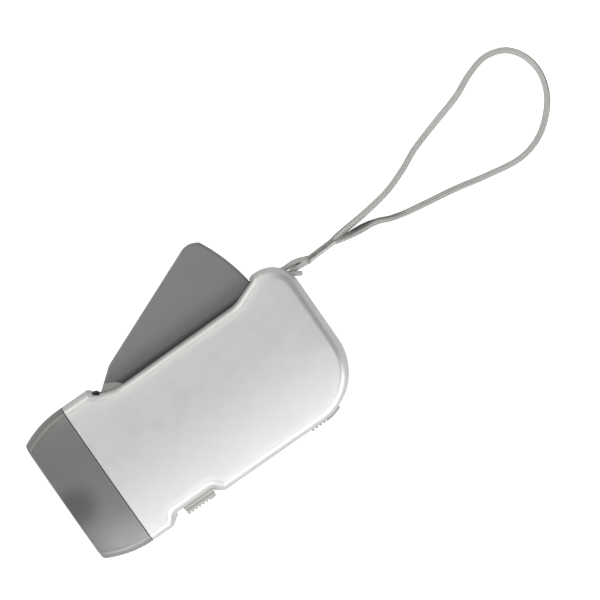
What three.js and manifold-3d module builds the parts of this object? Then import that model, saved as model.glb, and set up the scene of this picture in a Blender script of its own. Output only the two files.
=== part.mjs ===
// Hand press dynamo torch. A lever on the long edge is squeezed into the casing, its toothed
// sector spins a magnet rotor through two gears, and the coil beside the rotor feeds two lamps.
//
// Lengths are millimetres and angles degrees. X runs from the lens to the tail with zero at the
// head seam, Y from the switch edge to the lever edge and Z from the back face to the front face.

import * as THREE from 'three';
import { mergeVertices } from 'three/addons/utils/BufferGeometryUtils.js';
import Module from 'manifold-3d';

// Driving dimensions

const gap = { slide: 0.3, seat: 0.15, seam: 0.2, overrun: 4, weld: 0.4 };

// The casing's length follows from the lever that lies in it; these give its other sizes.
const casing = {
  width: 51.7,
  thickness: 23,
  wall: 1.8,
  lipRise: 4.3,
  lipEndX: 9.7,
  lipRadius: 0.9,
  throatRadius: 1.6,
  tailRun: 11.2,
  riseRun: 10,
  bumpRadius: 1.2,
  riseRadius: 12,
  bumpFlat: 1.4,
  tailBottomRadius: 19.2,
  edgeRound: 3.6,
  edgeRoundDepth: 2.8,
  crownRise: 1.3,
  crownTailRun: 19.3,
  crownShare: 0.55,
  postFootShare: 0.6,
  originShare: 0.4,
};

const head = {
  length: 16.5,
  noseRadius: 34,
  topArcSetback: 1.5,
  wall: 1.9,
  noseThinning: 2.4,
  spigotReach: 1.7,
  spigotWall: 1.1,
  rebateDepth: 1.9,
  rebateLedge: 0.8,
};

const lens = { proud: 0.4, domeRadius: 9.6, domeRise: 0.65, spreadShare: 0.449 };

const reflector = { flange: 0.8, lampOverlap: 1.35, throatRadius: 3.1, skin: 0.8, flarePower: 1.6 };

const lamp = { radius: 2.5, rimRadius: 2.9, rimHeight: 1, bodyHeight: 8.6 };

const lampBoard = {
  thickness: 1.6,
  faceX: 3.1,
  bossRoom: 0.7,
  edgeInset: 3.7,
  pinchWall: 1,
  grip: 1,
  railInset: 3,
};

const lever = {
  pivotX: 14.5,
  pivotInset: 8.7,
  openAngle: 22.8,
  travelAngle: 22.5,
  endRoom: 14.3,
  faceRise: 8,
  noseX: 0.5,
  noseY: 5.5,
  shoulderX: 9.3,
  shoulderRadius: 9,
  tailRadius: 5.6,
  skirtInset: 2.5,
  width: 13,
  hubProud: 0.4,
  hubRadius: 7,
  skin: 1.4,
  roof: 1.8,
  edgeRound: 0.8,
  pinRadius: 1.5,
  pinPostRadius: 3,
  stopReach: 2.2,
  stopLowAngle: 3,
  stopHighAngle: 6.2,
};

const slot = {
  frontRun: 3.2,
  endClearance: 0.9,
  rimRoom: 0.4,
  hubClearance: 0.5,
  lowAngle: -2,
  highAngle: 14,
};

const train = {
  sectorModule: 0.8,
  wheelModule: 0.6,
  pressureAngle: 25,
  addendumShare: 0.8,
  dedendumShare: 1.08,
  backlash: 0.14,
  pinionTeeth: 10,
  firstTeeth: 40,
  secondTeeth: 40,
  firstRoom: 4,
  secondRoom: 1.4,
  sectorRim: 2,
  sectorLeadAngle: 4,
  sectorTrailAngle: 6,
  hubRadius: 2,
  secondHubRadius: 2.3,
  axleRadius: 1,
  axleCover: 0.5,
  postRadius: 2.4,
};

const layer = { lowHeight: 2.2, middleHeight: 3, highHeight: 2, between: 0.8 };

const rotor = { magnetRadius: 6, magnetHeight: 4.7, flywheelRadius: 8, flywheelHeight: 1.2 };

const stator = {
  height: 3.6,
  airGap: 0.7,
  armWidth: 3.2,
  yokeWidth: 3.4,
  poleGap: 3.2,
  boardRoom: 2,
  coilRoom: 0.4,
  jawRoom: 0.5,
  switchRoom: 1.2,
};

const coil = { barrelSkin: 0.7, flange: 0.8, length: 11.6, windingDepth: 2.1, lip: 0.35, cornerShare: 0.8 };

const scoop = {
  startX: 8,
  length: 20,
  rampIn: 4.6,
  rampOut: 5.4,
  depth: 2,
  rimDepth: 3.8,
  skin: 1.7,
  backRadius: 3,
  outerRampShare: 0.4,
  innerRampShare: 0.45,
  shoulderShare: 0.525,
  rimGainShare: 1.25,
};

const knob = {
  scoopRun: 5.7,
  length: 11,
  topInset: 0.4,
  baseInset: 3.1,
  width: 13,
  ribs: 6,
  ribDepth: 0.45,
  topRadius: 0.8,
  baseRadius: 0.3,
  stemRun: 3.9,
  stemLength: 2,
  stemWidth: 3,
  travel: 2.5,
  ledgeInset: 2,
};

const toggle = { length: 9.4, height: 3.8, width: 6, wall: 2 };

const latch = {
  gearRoom: 1.4,
  length: 11.7,
  ribbedLength: 6,
  proud: 0.5,
  sunk: 0.8,
  width: 8,
  ribs: 4,
  ribDepth: 0.5,
  travel: 3,
  armInset: 0.2,
  armWidth: 2.5,
  armHeight: 3.6,
  hookHeight: 2.1,
  windowAngle: 17.4,
};

const cell = {
  radius: 8,
  height: 3,
  tailRun: 17.8,
  edgeRun: 13,
  rise: 3,
  ringWall: 1,
  clip: 0.4,
  clipWidth: 4,
  clipInset: 1,
  padRadius: 4,
};

const screw = {
  bossRadius: 2.4,
  headRadius: 2,
  headHeight: 1.4,
  headZ: 1.7,
  shankRadius: 1,
  tipCover: 4.4,
  frontX: 5,
  scoopRoom: 0.5,
  edgeRun: 5,
  tailHighRun: 6.3,
  tailLowRun: 5.8,
  frontHighShare: 0.89,
  frontLowShare: 0.125,
  tailHighShare: 0.638,
  tailLowShare: 0.27,
};

const spring = {
  wire: 0.8,
  radius: 3.5,
  pitch: 1,
  turns: 5,
  steps: 8,
  sides: 5,
  legReach: 9.5,
  footReach: 7,
  stopRadius: 1.1,
};

const strap = {
  tailRun: 4.8,
  edgeRun: 6.7,
  postRadius: 1.3,
  slotBelow: 2,
  slotAbove: 4,
  slotHeight: 4,
  anchorRadius: 0.6,
  cordRadius: 0.9,
  ferruleRadius: 1.4,
  sides: 8,
};

// Directions and distances in the plane of the casing

const fullTurn = 360;
const degree = (2 * Math.PI) / fullTurn;
const polar = (radius, degrees) => [radius * Math.cos(degrees * degree), radius * Math.sin(degrees * degree)];
const stepFrom = ([x, y], radius, degrees) => {
  const [dx, dy] = polar(radius, degrees);
  return [x + dx, y + dy];
};
const bearingAt = (height, radius) => Math.asin(height / radius) / degree;
const bearingTo = ([x0, y0], [x1, y1]) => Math.atan2(y1 - y0, x1 - x0) / degree;
const apart = ([x0, y0], [x1, y1]) => Math.hypot(x1 - x0, y1 - y0);

// The place at its own distance from each of two others, on the left of the line from a to b
function meetingPoint(a, fromA, b, fromB) {
  const span = apart(a, b);
  const along = (fromA ** 2 - fromB ** 2 + span ** 2) / (2 * span);
  const aside = Math.sqrt(fromA ** 2 - along ** 2);
  const bearing = bearingTo(a, b);
  return stepFrom(stepFrom(a, along, bearing), aside, bearing + 90);
}

// Places worked out from the driving dimensions, from the head to the tail

const midZ = casing.thickness / 2;
const midY = casing.width / 2;
const seatY = casing.width - casing.lipRise;
const pivot = [lever.pivotX, casing.width - lever.pivotInset];

const scoopEndX = scoop.startX + scoop.length;
const knobX = scoop.startX + knob.scoopRun;
const stemX = knobX + knob.stemRun;
const toggleY = scoop.rimDepth + scoop.skin + gap.slide;
const toggleTopY = toggleY + toggle.height;

const boardBackX = lampBoard.faceX + lampBoard.thickness;
const coilHole = { x: stator.yokeWidth / 2 + gap.seat, z: stator.height / 2 + gap.seat };
const coilBarrel = { x: coilHole.x + coil.barrelSkin, z: coilHole.z + coil.barrelSkin };
const coilWound = { x: coilBarrel.x + coil.windingDepth, z: coilBarrel.z + coil.windingDepth };
const coilRim = { x: coilWound.x + coil.lip, z: coilWound.z + coil.lip };
const coilX = boardBackX + stator.boardRoom + coilRim.x;
const statorSpan = coil.length + 2 * (stator.armWidth + stator.coilRoom);
const jawRadius = statorSpan / 2;
const rotorAxis = [
  coilX + coilRim.x + stator.jawRoom + jawRadius,
  toggleTopY + stator.switchRoom + jawRadius,
];

// Each gear axis stands its pitch distance from the last, with the wheels just above the casing
// floor. The sector then takes the number of teeth that brings its edge to the first pinion.

const pitchRadius = (teeth, size) => (teeth * size) / 2;
const tipRadius = (teeth, size) => pitchRadius(teeth, size) + train.addendumShare * size;
const drivePinionRadius = pitchRadius(train.pinionTeeth, train.sectorModule);
const smallPinionRadius = pitchRadius(train.pinionTeeth, train.wheelModule);
const firstSpacing = pitchRadius(train.firstTeeth, train.wheelModule) + smallPinionRadius;
const secondSpacing = pitchRadius(train.secondTeeth, train.wheelModule) + smallPinionRadius;
const wheelHeight = (teeth, room) => casing.wall + room + tipRadius(teeth, train.wheelModule);
const nextAxis = ([x, y], spacing, height) => {
  const run = Math.sqrt(spacing ** 2 - (height - y) ** 2);
  return [x + run, height];
};

const secondAxis = nextAxis(rotorAxis, secondSpacing, wheelHeight(train.secondTeeth, train.secondRoom));
const firstAim = nextAxis(secondAxis, firstSpacing, wheelHeight(train.firstTeeth, train.firstRoom));
const sectorReach = apart(pivot, firstAim) - drivePinionRadius;
const sectorTeeth = Math.round((2 * sectorReach) / train.sectorModule);
const sectorRadius = pitchRadius(sectorTeeth, train.sectorModule);
const firstAxis = meetingPoint(pivot, sectorRadius + drivePinionRadius, secondAxis, firstSpacing);

const firstBearing = bearingTo(pivot, firstAxis);
const secondBearing = bearingTo(firstAxis, secondAxis);
const rotorBearing = bearingTo(secondAxis, rotorAxis);

const leverReach = sectorRadius + lever.endRoom;
const bumpX = lever.pivotX + leverReach + slot.endClearance + slot.rimRoom;
const tailX = bumpX + casing.tailRun;

const screwPlaces = [
  [screw.frontX, casing.width * screw.frontHighShare],
  [screw.frontX, casing.width * screw.frontLowShare],
  [scoopEndX + screw.scoopRoom, screw.edgeRun],
  [tailX - screw.tailHighRun, casing.width * screw.tailHighShare],
  [tailX - screw.tailLowRun, casing.width * screw.tailLowShare],
];
const screwLength = casing.thickness - screw.headZ - screw.headHeight - screw.tipCover;

const strapPost = [tailX - strap.tailRun, casing.width - strap.edgeRun];
const cellPlace = [tailX - cell.tailRun, cell.edgeRun];

// Heights of the layers of the train, from the back face

const middleZ = [midZ - layer.middleHeight / 2, midZ + layer.middleHeight / 2];
const lowZ = [middleZ[0] - layer.between - layer.lowHeight, middleZ[0] - layer.between];
const highZ = [middleZ[1] + layer.between, middleZ[1] + layer.between + layer.highHeight];
const postLowZ = lowZ[0] - gap.slide - gap.seam;
const postHighZ = highZ[1] + gap.slide + gap.weld;
const hubZ = [postLowZ + gap.slide, postHighZ - gap.slide];
const magnetZ = [postLowZ + gap.weld, postLowZ + gap.weld + rotor.magnetHeight];
const flywheelZ = [magnetZ[1] + gap.weld, magnetZ[1] + gap.weld + rotor.flywheelHeight];
const statorMidZ = (magnetZ[0] + magnetZ[1]) / 2;
const statorZ = [statorMidZ - stator.height / 2, statorMidZ + stator.height / 2];
const axleInset = casing.wall + train.axleCover;
const axleZ = [axleInset, casing.thickness - axleInset];
const innerBack = casing.wall * casing.postFootShare;
const innerFront = casing.thickness - innerBack;
const cellZ = [midZ + cell.rise, midZ + cell.rise + cell.height];

const beyond = tailX + casing.width;
const across = [-beyond, beyond];
const throughout = [-gap.overrun, casing.thickness + gap.overrun];

// Solids: three.js geometry in, joined and cut as closed bodies

const wasm = await Module();
wasm.setup();

function solidOf(geometry) {
  const bare = geometry.clone();
  bare.deleteAttribute('normal');
  bare.deleteAttribute('uv');
  const merged = mergeVertices(bare, 1e-4);
  const triangles = [];
  const index = merged.index.array;
  for (let i = 0; i < index.length; i += 3) {
    const [a, b, c] = [index[i], index[i + 1], index[i + 2]];
    if (a !== b && b !== c && c !== a) {
      triangles.push(a, b, c);
    }
  }
  const vertProperties = new Float32Array(merged.attributes.position.array);
  const triVerts = new Uint32Array(triangles);
  return new wasm.Manifold(new wasm.Mesh({ numProp: 3, vertProperties, triVerts }));
}

const join = (...solids) => solids.reduce((whole, next) => whole.add(next));
const cut = (solid, ...cutters) => cutters.reduce((left, next) => left.subtract(next), solid);
const common = (solid, other) => solid.intersect(other);

function geometryOf(solid) {
  const mesh = solid.getMesh();
  const geometry = new THREE.BufferGeometry();
  const places = [];
  for (let i = 0; i < mesh.vertProperties.length; i += mesh.numProp) {
    places.push(mesh.vertProperties[i], mesh.vertProperties[i + 1], mesh.vertProperties[i + 2]);
  }
  geometry.setAttribute('position', new THREE.Float32BufferAttribute(places, 3));
  geometry.setIndex(Array.from(mesh.triVerts));
  geometry.computeVertexNormals();
  return geometry;
}

function box([x0, x1], [y0, y1], [z0, z1]) {
  const geometry = new THREE.BoxGeometry(x1 - x0, y1 - y0, z1 - z0);
  geometry.translate((x0 + x1) / 2, (y0 + y1) / 2, (z0 + z1) / 2);
  return solidOf(geometry);
}

// The two ends of a length centred on a place
const spread = (middle, length) => [middle - length / 2, middle + length / 2];

function prism(points, [z0, z1], holes = []) {
  const shape = new THREE.Shape(points.map(([x, y]) => new THREE.Vector2(x, y)));
  for (const hole of holes) {
    shape.holes.push(new THREE.Path(hole.map(([x, y]) => new THREE.Vector2(x, y))));
  }
  const geometry = new THREE.ExtrudeGeometry(shape, { depth: z1 - z0, bevelEnabled: false });
  geometry.translate(0, 0, z0);
  return solidOf(geometry);
}

function circle([x, y], radius, count) {
  const points = [];
  for (let i = 0; i < count; i += 1) {
    const [dx, dy] = polar(radius, (i / count) * fullTurn);
    points.push([x + dx, y + dy]);
  }
  return points;
}

const disc = (centre, radius, span, count = 24) => prism(circle(centre, radius, count), span);

function turned(profile, count) {
  const points = profile.map(([radius, height]) => new THREE.Vector2(radius, height));
  const geometry = new THREE.LatheGeometry([...points, points[0].clone()], count);
  geometry.rotateX(Math.PI / 2);
  return geometry;
}

// A turned solid on an axis along X, opening towards the tail or, reversed, towards the lens
function turnedAlongX(profile, count, [x, y, z], reversed = false) {
  const form = turned(profile, count);
  form.rotateY(reversed ? -Math.PI / 2 : Math.PI / 2);
  form.translate(x, y, z);
  return solidOf(form);
}

function signedArea(points) {
  let area = 0;
  points.forEach((p, i) => {
    const q = points[(i + 1) % points.length];
    area += p.x * q.y - q.x * p.y;
  });
  return area / 2;
}

// A closed skin over a row of rings with equal counts; flat gives a ring point's place in its cap.
function loft(rings, flat) {
  const count = rings[0].length;
  const places = rings.flat().flatMap((p) => [p.x, p.y, p.z]);
  const faces = [];
  for (let i = 0; i + 1 < rings.length; i += 1) {
    for (let j = 0; j < count; j += 1) {
      const k = (j + 1) % count;
      const [a, b, c, d] = [i * count + j, i * count + k, (i + 1) * count + k, (i + 1) * count + j];
      faces.push([a, b, c], [a, c, d]);
    }
  }
  for (const [ring, forward] of [
    [0, false],
    [rings.length - 1, true],
  ]) {
    const contour = rings[ring].map(flat);
    const start = ring * count;
    const turn = Math.sign(signedArea(contour)) * (forward ? 1 : -1);
    for (const [a, b, c] of THREE.ShapeUtils.triangulateShape(contour, [])) {
      const facing = Math.sign(signedArea([contour[a], contour[b], contour[c]]));
      const [p, q] = facing === turn ? [b, c] : [c, b];
      faces.push([start + a, start + p, start + q]);
    }
  }
  const geometry = new THREE.BufferGeometry();
  geometry.setAttribute('position', new THREE.Float32BufferAttribute(places, 3));
  geometry.setIndex(faces.flat());
  const solid = solidOf(geometry);
  if (solid.volume() > 0) {
    return solid;
  }
  geometry.setIndex(faces.flatMap(([a, b, c]) => [a, c, b]));
  return solidOf(geometry);
}

const inPlan = (p) => new THREE.Vector2(p.x, p.y);
const endOn = (p) => new THREE.Vector2(p.y, p.z);

// A polygon with rounded corners, drawn in by inset: straight sides move in and radii follow.
// Each corner is [x, y, radius, steps]; convex corners tighten and hollow ones widen.
function roundedOutline(corners, inset = 0) {
  const count = corners.length;
  const sides = corners.map(([x, y], i) => {
    const [nx, ny] = corners[(i + 1) % count];
    const along = new THREE.Vector2(nx - x, ny - y).normalize();
    const inward = new THREE.Vector2(-along.y, along.x);
    return { along, inward, start: new THREE.Vector2(x, y).addScaledVector(inward, inset) };
  });
  const points = [];
  corners.forEach(([, , radius = 0, steps = 1], i) => {
    const before = sides[(i + count - 1) % count];
    const after = sides[i];
    const turn = before.along.cross(after.along);
    const between = after.start.clone().sub(before.start);
    const corner = before.start.clone().addScaledVector(before.along, between.cross(after.along) / turn);
    const sweep = Math.atan2(turn, before.along.dot(after.along));
    if (radius === 0) {
      points.push([corner.x, corner.y]);
      return;
    }
    const side = Math.sign(sweep);
    const round = Math.max(radius - side * inset, radius / 8);
    const start = corner.clone().addScaledVector(before.along, -round * Math.tan(Math.abs(sweep) / 2));
    const centre = start.clone().addScaledVector(before.inward, side * round);
    for (let k = 0; k <= steps; k += 1) {
      const spoke = start.clone().rotateAround(centre, (sweep * k) / steps);
      points.push([spoke.x, spoke.y]);
    }
  });
  return points;
}

// A tube of even radius along a smooth route
function tube(route, radius, sides, steps) {
  const points = route.map(([x, y, z]) => new THREE.Vector3(x, y, z));
  const curve = new THREE.CatmullRomCurve3(points, false, 'centripetal');
  const section = new THREE.Shape(circle([0, 0], radius, sides).map(([x, y]) => new THREE.Vector2(x, y)));
  return new THREE.ExtrudeGeometry(section, { steps, bevelEnabled: false, extrudePath: curve });
}

// Materials

const finish = (color, roughness, metalness, extra = {}) =>
  new THREE.MeshStandardMaterial({ color, roughness, metalness, ...extra });

const materials = {
  silver: finish(0xcfcfd1, 0.38, 0.75),
  leverGrey: finish(0x6f7172, 0.5, 0.1),
  smoked: finish(0x7c7d7a, 0.25, 0.1, { transparent: true, opacity: 0.85 }),
  clear: finish(0xd5d8d8, 0.08, 0, { transparent: true, opacity: 0.4 }),
  mirror: finish(0xe2e2e0, 0.12, 1),
  sliderGrey: finish(0xb0b0a8, 0.55, 0.05),
  steel: finish(0xb9bbbd, 0.3, 0.9),
  gearWhite: finish(0xe6e4dc, 0.5, 0),
  ferrite: finish(0x38393b, 0.6, 0.2),
  laminations: finish(0x6e7378, 0.45, 0.8),
  nylon: finish(0xdfdccf, 0.55, 0),
  copper: finish(0xb4622d, 0.35, 0.8),
  board: finish(0x2f6b46, 0.5, 0.05),
  lampClear: finish(0xe9edf2, 0.1, 0),
  switchBlack: finish(0x2a2b2c, 0.5, 0.1),
  strapGrey: finish(0xa2a6a2, 0.85, 0),
};

const torch = new THREE.Group();
torch.position.set(-tailX * casing.originShare, -midY, 0);

function place(name, shape, material, [x, y, z] = [0, 0, 0], turnZ = 0) {
  const geometry = shape.isBufferGeometry ? shape : geometryOf(shape);
  const mesh = new THREE.Mesh(geometry, material);
  mesh.name = name;
  mesh.position.set(x, y, z);
  mesh.rotation.z = turnZ * degree;
  torch.add(mesh);
}

// Casing form: rings of the outline from the parting plane over the rounded edge to the crown

function casingCorners() {
  const { width, lipEndX, lipRise, riseRun } = casing;
  return [
    [-gap.overrun, 0],
    [tailX, 0, casing.tailBottomRadius, 8],
    [tailX, width, casing.tailRun - casing.bumpFlat, 6],
    [bumpX, width, casing.bumpRadius, 2],
    [bumpX - riseRun, seatY, casing.riseRadius, 3],
    [lipEndX + lipRise, seatY, casing.throatRadius, 2],
    [lipEndX, width, casing.lipRadius, 2],
    [-gap.overrun, width],
  ];
}

// Half the section from the parting plane outward: inset from the outline, height and crown share
function sectionLevels(wall, { roundSteps, crownSteps }) {
  const roundIn = casing.edgeRound - wall / 2;
  const roundUp = casing.edgeRoundDepth - wall / 3;
  const band = midZ - casing.edgeRoundDepth - casing.crownRise;
  const levels = [{ inset: wall, rise: band, share: 0 }];
  const roundSweep = 80 * degree;
  for (let k = 1; k <= roundSteps; k += 1) {
    const angle = (roundSweep * k) / roundSteps;
    levels.push({
      inset: wall + roundIn * (1 - Math.cos(angle)),
      rise: band + roundUp * Math.sin(angle),
      share: 0,
    });
  }
  const edge = levels[roundSteps];
  const crown = midZ - wall - edge.rise;
  for (let k = 1; k <= crownSteps; k += 1) {
    levels.push({
      inset: edge.inset,
      rise: edge.rise + crown * Math.sin(((k / crownSteps) * Math.PI) / 2),
      share: (casing.crownShare * k) / crownSteps,
    });
  }
  const mirrored = levels.map((level) => ({ ...level, rise: -level.rise })).reverse();
  return [...mirrored, ...levels];
}

const fine = { roundSteps: 3, crownSteps: 3, stations: 5 };
const coarse = { roundSteps: 2, crownSteps: 1, stations: 3 };

function casingSolid(wall, detail) {
  const crownEndX = tailX - casing.crownTailRun;
  const rings = sectionLevels(wall, detail).map(({ inset, rise, share }) =>
    roundedOutline(casingCorners(), inset).map(([x, y]) => {
      const spineX = Math.min(x, crownEndX);
      return new THREE.Vector3(x + (spineX - x) * share, y + (midY - y) * share, midZ + rise);
    }),
  );
  return loft(rings, inPlan);
}

// The edge heights and the thickness share of the head at a place ahead of the seam
function headEdges(x) {
  const sag = (start) => {
    const run = Math.max(0, start - x);
    return head.noseRadius - Math.sqrt(head.noseRadius ** 2 - run ** 2);
  };
  const share = Math.max(0, -x) / head.length;
  const taper = 1 - (head.noseThinning / casing.thickness) * share ** 2;
  return { low: sag(0), high: casing.width - sag(-head.topArcSetback), taper };
}

function headSection(x, wall, detail) {
  const { low, high, taper } = headEdges(x);
  const levels = sectionLevels(wall, detail);
  const point = (edge, inward, { inset, rise, share }) => {
    const y = edge + inward * inset;
    return new THREE.Vector3(x, y + (midY - y) * share, midZ + rise * taper);
  };
  const upper = levels.map((level) => point(high, -1, level));
  const lower = levels.map((level) => point(low, 1, level)).reverse();
  return [...upper, ...lower];
}

function headSolid(wall, [fromX, toX], detail = coarse) {
  const { stations } = detail;
  const rings = [];
  for (let k = 0; k <= stations; k += 1) {
    rings.push(headSection(fromX + ((toX - fromX) * k) / stations, wall, detail));
  }
  return loft(rings, endOn);
}

// Casing shells

// The finger scoop deepens from its floor at the parting plane to its rim on both faces
function scoopSolid() {
  const { startX, rampIn, rampOut, depth, rimDepth, shoulderShare } = scoop;
  const rings = [];
  const steps = 6;
  for (let k = -steps; k <= steps; k += 1) {
    const deep = depth + (rimDepth - depth) * scoop.rimGainShare * (k / steps) ** 2;
    const points = [
      [startX - gap.overrun, -gap.overrun],
      [scoopEndX + gap.overrun, -gap.overrun],
      [scoopEndX + gap.overrun / 4, -gap.overrun / 8],
      [scoopEndX - rampOut * scoop.outerRampShare, deep * shoulderShare],
      [scoopEndX - rampOut, deep],
      [startX + rampIn, deep],
      [startX + rampIn * scoop.innerRampShare, deep * shoulderShare],
      [startX - gap.overrun / 8, -gap.overrun / 8],
    ];
    const z = midZ + (midZ + gap.overrun / 4) * (k / steps);
    rings.push(points.map(([x, y]) => new THREE.Vector3(x, y, z)));
  }
  return loft(rings, inPlan);
}

function scoopBacking() {
  const depth = scoop.rimDepth + scoop.skin;
  const corners = [
    [scoop.startX - scoop.skin, -gap.overrun],
    [scoopEndX + scoop.skin, -gap.overrun],
    [scoopEndX, depth, scoop.backRadius, 2],
    [scoop.startX, depth, scoop.backRadius, 2],
  ];
  return prism(roundedOutline(corners), [0, casing.thickness]);
}

const slotZ = spread(midZ, lever.width + 2 * (lever.hubProud + gap.slide));

function leverSlot() {
  const frontX = lever.pivotX - slot.frontRun;
  const reach = leverReach + slot.endClearance;
  const steps = 4;
  const rim = [];
  for (let k = 0; k <= steps; k += 1) {
    rim.push(stepFrom(pivot, reach, slot.lowAngle + ((slot.highAngle - slot.lowAngle) * k) / steps));
  }
  const points = [[frontX, pivot[1]], ...rim, [frontX, casing.width + 2 * gap.overrun]];
  return join(prism(points, slotZ), disc(pivot, lever.noseY + slot.hubClearance, slotZ));
}

const armX = firstAxis[0] + tipRadius(train.pinionTeeth, train.sectorModule) + latch.gearRoom;
const latchX = armX - latch.armInset;
const latchEndX = latchX + latch.length;

// The band of the casing edge between two insets, from one place along X to another
function edgeBand(outset, inset, xSpan, width) {
  const outer = prism(roundedOutline(casingCorners(), -outset), spread(midZ, width));
  const inner = prism(roundedOutline(casingCorners(), inset), spread(midZ, casing.width));
  return common(cut(outer, inner), box(xSpan, [-gap.overrun, midY / 2], spread(midZ, width)));
}

const stemTrackX = [stemX - knob.travel - gap.slide, stemX + knob.stemLength + gap.slide];
const stemTrackZ = spread(midZ, knob.stemWidth + 2 * gap.slide);

function knobOpenings() {
  const trackX = [knobX - knob.travel - gap.slide, knobX + knob.length + gap.slide];
  const trackY = [-gap.overrun, knob.baseInset + gap.slide];
  return [
    box(trackX, trackY, spread(midZ, knob.width + 2 * gap.slide)),
    box(stemTrackX, [0, scoop.rimDepth + 2 * scoop.skin], stemTrackZ),
  ];
}

function latchOpenings() {
  const padX = [latchX - gap.slide, latchEndX + latch.travel + gap.slide];
  const armTrackX = [armX - gap.slide, armX + latch.armWidth + latch.travel + gap.slide];
  return [
    edgeBand(gap.overrun, latch.sunk + gap.slide, padX, latch.width + 2 * gap.slide),
    box(armTrackX, [-gap.overrun, 2 * casing.wall], spread(midZ, latch.armHeight + 2 * gap.slide)),
  ];
}

function strapOpening() {
  const [postX, postY] = strapPost;
  const ySpan = [postY - strap.slotBelow, postY + strap.slotAbove];
  return box([postX, tailX + gap.overrun], ySpan, spread(midZ, strap.slotHeight));
}

const shellOpenings = [leverSlot(), scoopSolid(), ...knobOpenings(), ...latchOpenings(), strapOpening()];

// Two thin walls on each shell pinch the lamp board
const boardHeight = casing.thickness - 2 * lampBoard.edgeInset;
const boardY = [
  screwPlaces[1][1] + screw.bossRadius + lampBoard.bossRoom,
  screwPlaces[0][1] - screw.bossRadius - lampBoard.bossRoom,
];

function boardRail(front) {
  const [lowEdge, highEdge] = spread(midZ, boardHeight - 2 * lampBoard.grip);
  const depth = front ? [highEdge, innerFront] : [innerBack, lowEdge];
  const length = [boardY[0] + lampBoard.railInset, boardY[1] - lampBoard.railInset];
  const starts = [lampBoard.faceX - gap.seat - lampBoard.pinchWall, boardBackX + gap.seat];
  return join(...starts.map((x) => box([x, x + lampBoard.pinchWall], length, depth)));
}

function cellPocket() {
  const inner = cell.radius + gap.slide;
  const ring = cut(
    disc(cellPlace, inner + cell.ringWall, [cellZ[0] - gap.slide, innerFront], 20),
    disc(cellPlace, inner, [cellZ[0] - gap.overrun, innerFront + gap.overrun], 20),
  );
  const padZ = [cellZ[1] + cell.clip + 2 * gap.slide, innerFront];
  return join(ring, disc(cellPlace, cell.padRadius, padZ, 12));
}

const axlePlaces = [firstAxis, secondAxis, rotorAxis];
const springStop = [
  pivot[0] - spring.radius - spring.wire / 2 - gap.slide - spring.stopRadius,
  pivot[1] - spring.footReach + spring.wire,
];
const statorFeet = spread(rotorAxis[1], statorSpan - stator.armWidth).map((y) => [coilX, y]);

// Posts and bosses reach from a height inside the casing to the face of one shell
function supports(front) {
  const post = (centre, radius, heights, count) => {
    const span = front ? [heights[1], innerFront] : [innerBack, heights[0]];
    return disc(centre, radius, span, count);
  };
  const seamZ = spread(midZ, gap.seam);
  const posts = [
    ...screwPlaces.map((centre) => post(centre, screw.bossRadius, seamZ, 10)),
    ...axlePlaces.map((centre) => post(centre, train.postRadius, [postLowZ, postHighZ], 10)),
    post(pivot, lever.pinPostRadius, slotZ, 14),
    post(strapPost, strap.postRadius, seamZ, 8),
    boardRail(front),
  ];
  if (front) {
    return [...posts, cellPocket()];
  }
  const footZ = [statorZ[0] - gap.seam];
  return [
    ...posts,
    post(springStop, spring.stopRadius, [midZ], 8),
    ...statorFeet.map((foot) => post(foot, stator.yokeWidth / 2, footZ, 8)),
  ];
}

function drillings(front) {
  const boreZ = [axleZ[0] - gap.seat, axleZ[1] + gap.seat];
  const headTopZ = screw.headZ + screw.headHeight;
  const shankZ = [0, headTopZ + screwLength + gap.slide];
  const headHoleZ = [-gap.overrun, headTopZ + gap.seat];
  return [
    ...axlePlaces.map((centre) => disc(centre, train.axleRadius + gap.seat, boreZ, 8)),
    disc(pivot, lever.pinRadius + gap.seat, boreZ, 12),
    ...screwPlaces.map((centre) => disc(centre, screw.shankRadius + gap.seat, shankZ, 8)),
    ...(front ? [] : screwPlaces.map((centre) => disc(centre, screw.headRadius + gap.slide, headHoleZ, 12))),
  ];
}

function casingShell(front) {
  const outer = casingSolid(0, fine);
  const cavity = cut(casingSolid(casing.wall, coarse), scoopBacking());
  const posts = supports(front).map((post) => common(post, outer));
  const seamZ = spread(midZ, gap.seam);
  const halfZ = front ? [seamZ[1], throughout[1]] : [throughout[0], seamZ[0]];
  const ahead = box([-2 * gap.overrun, gap.seam / 2], across, throughout);
  const body = join(cut(outer, cavity), ...posts);
  return common(cut(body, ahead, ...shellOpenings, ...drillings(front)), box(across, across, halfZ));
}

place('front_shell', casingShell(true), materials.silver);
place('back_shell', casingShell(false), materials.silver);

// Head: a smoked sleeve with a spigot in the casing mouth, the lens plate and the reflector behind it

const bezelX = -head.length;
const lensBackX = bezelX + head.rebateDepth;
const mirrorX = lensBackX + head.rebateLedge + gap.slide;
const lampYs = spread(midY, casing.width * lens.spreadShare);

function headCover() {
  const sleeve = cut(
    headSolid(0, [bezelX, -gap.seam / 2], fine),
    headSolid(head.wall + head.rebateLedge, [bezelX - gap.weld, gap.overrun]),
    headSolid(head.wall, [bezelX - gap.weld, lensBackX]),
    headSolid(head.wall, [lensBackX + head.rebateLedge, gap.overrun]),
  );
  const spigotOut = casing.wall + gap.slide;
  const spigotIn = spigotOut + head.spigotWall;
  const spigot = cut(
    headSolid(spigotOut, [-head.spigotReach, head.spigotReach]),
    headSolid(spigotIn, [-head.spigotReach - gap.weld, head.spigotReach + gap.weld]),
  );
  const collar = cut(
    headSolid(gap.weld, [-head.spigotReach, -gap.seam / 2]),
    headSolid(spigotIn, [-head.spigotReach - gap.weld, gap.overrun]),
  );
  return join(sleeve, spigot, collar);
}

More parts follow.
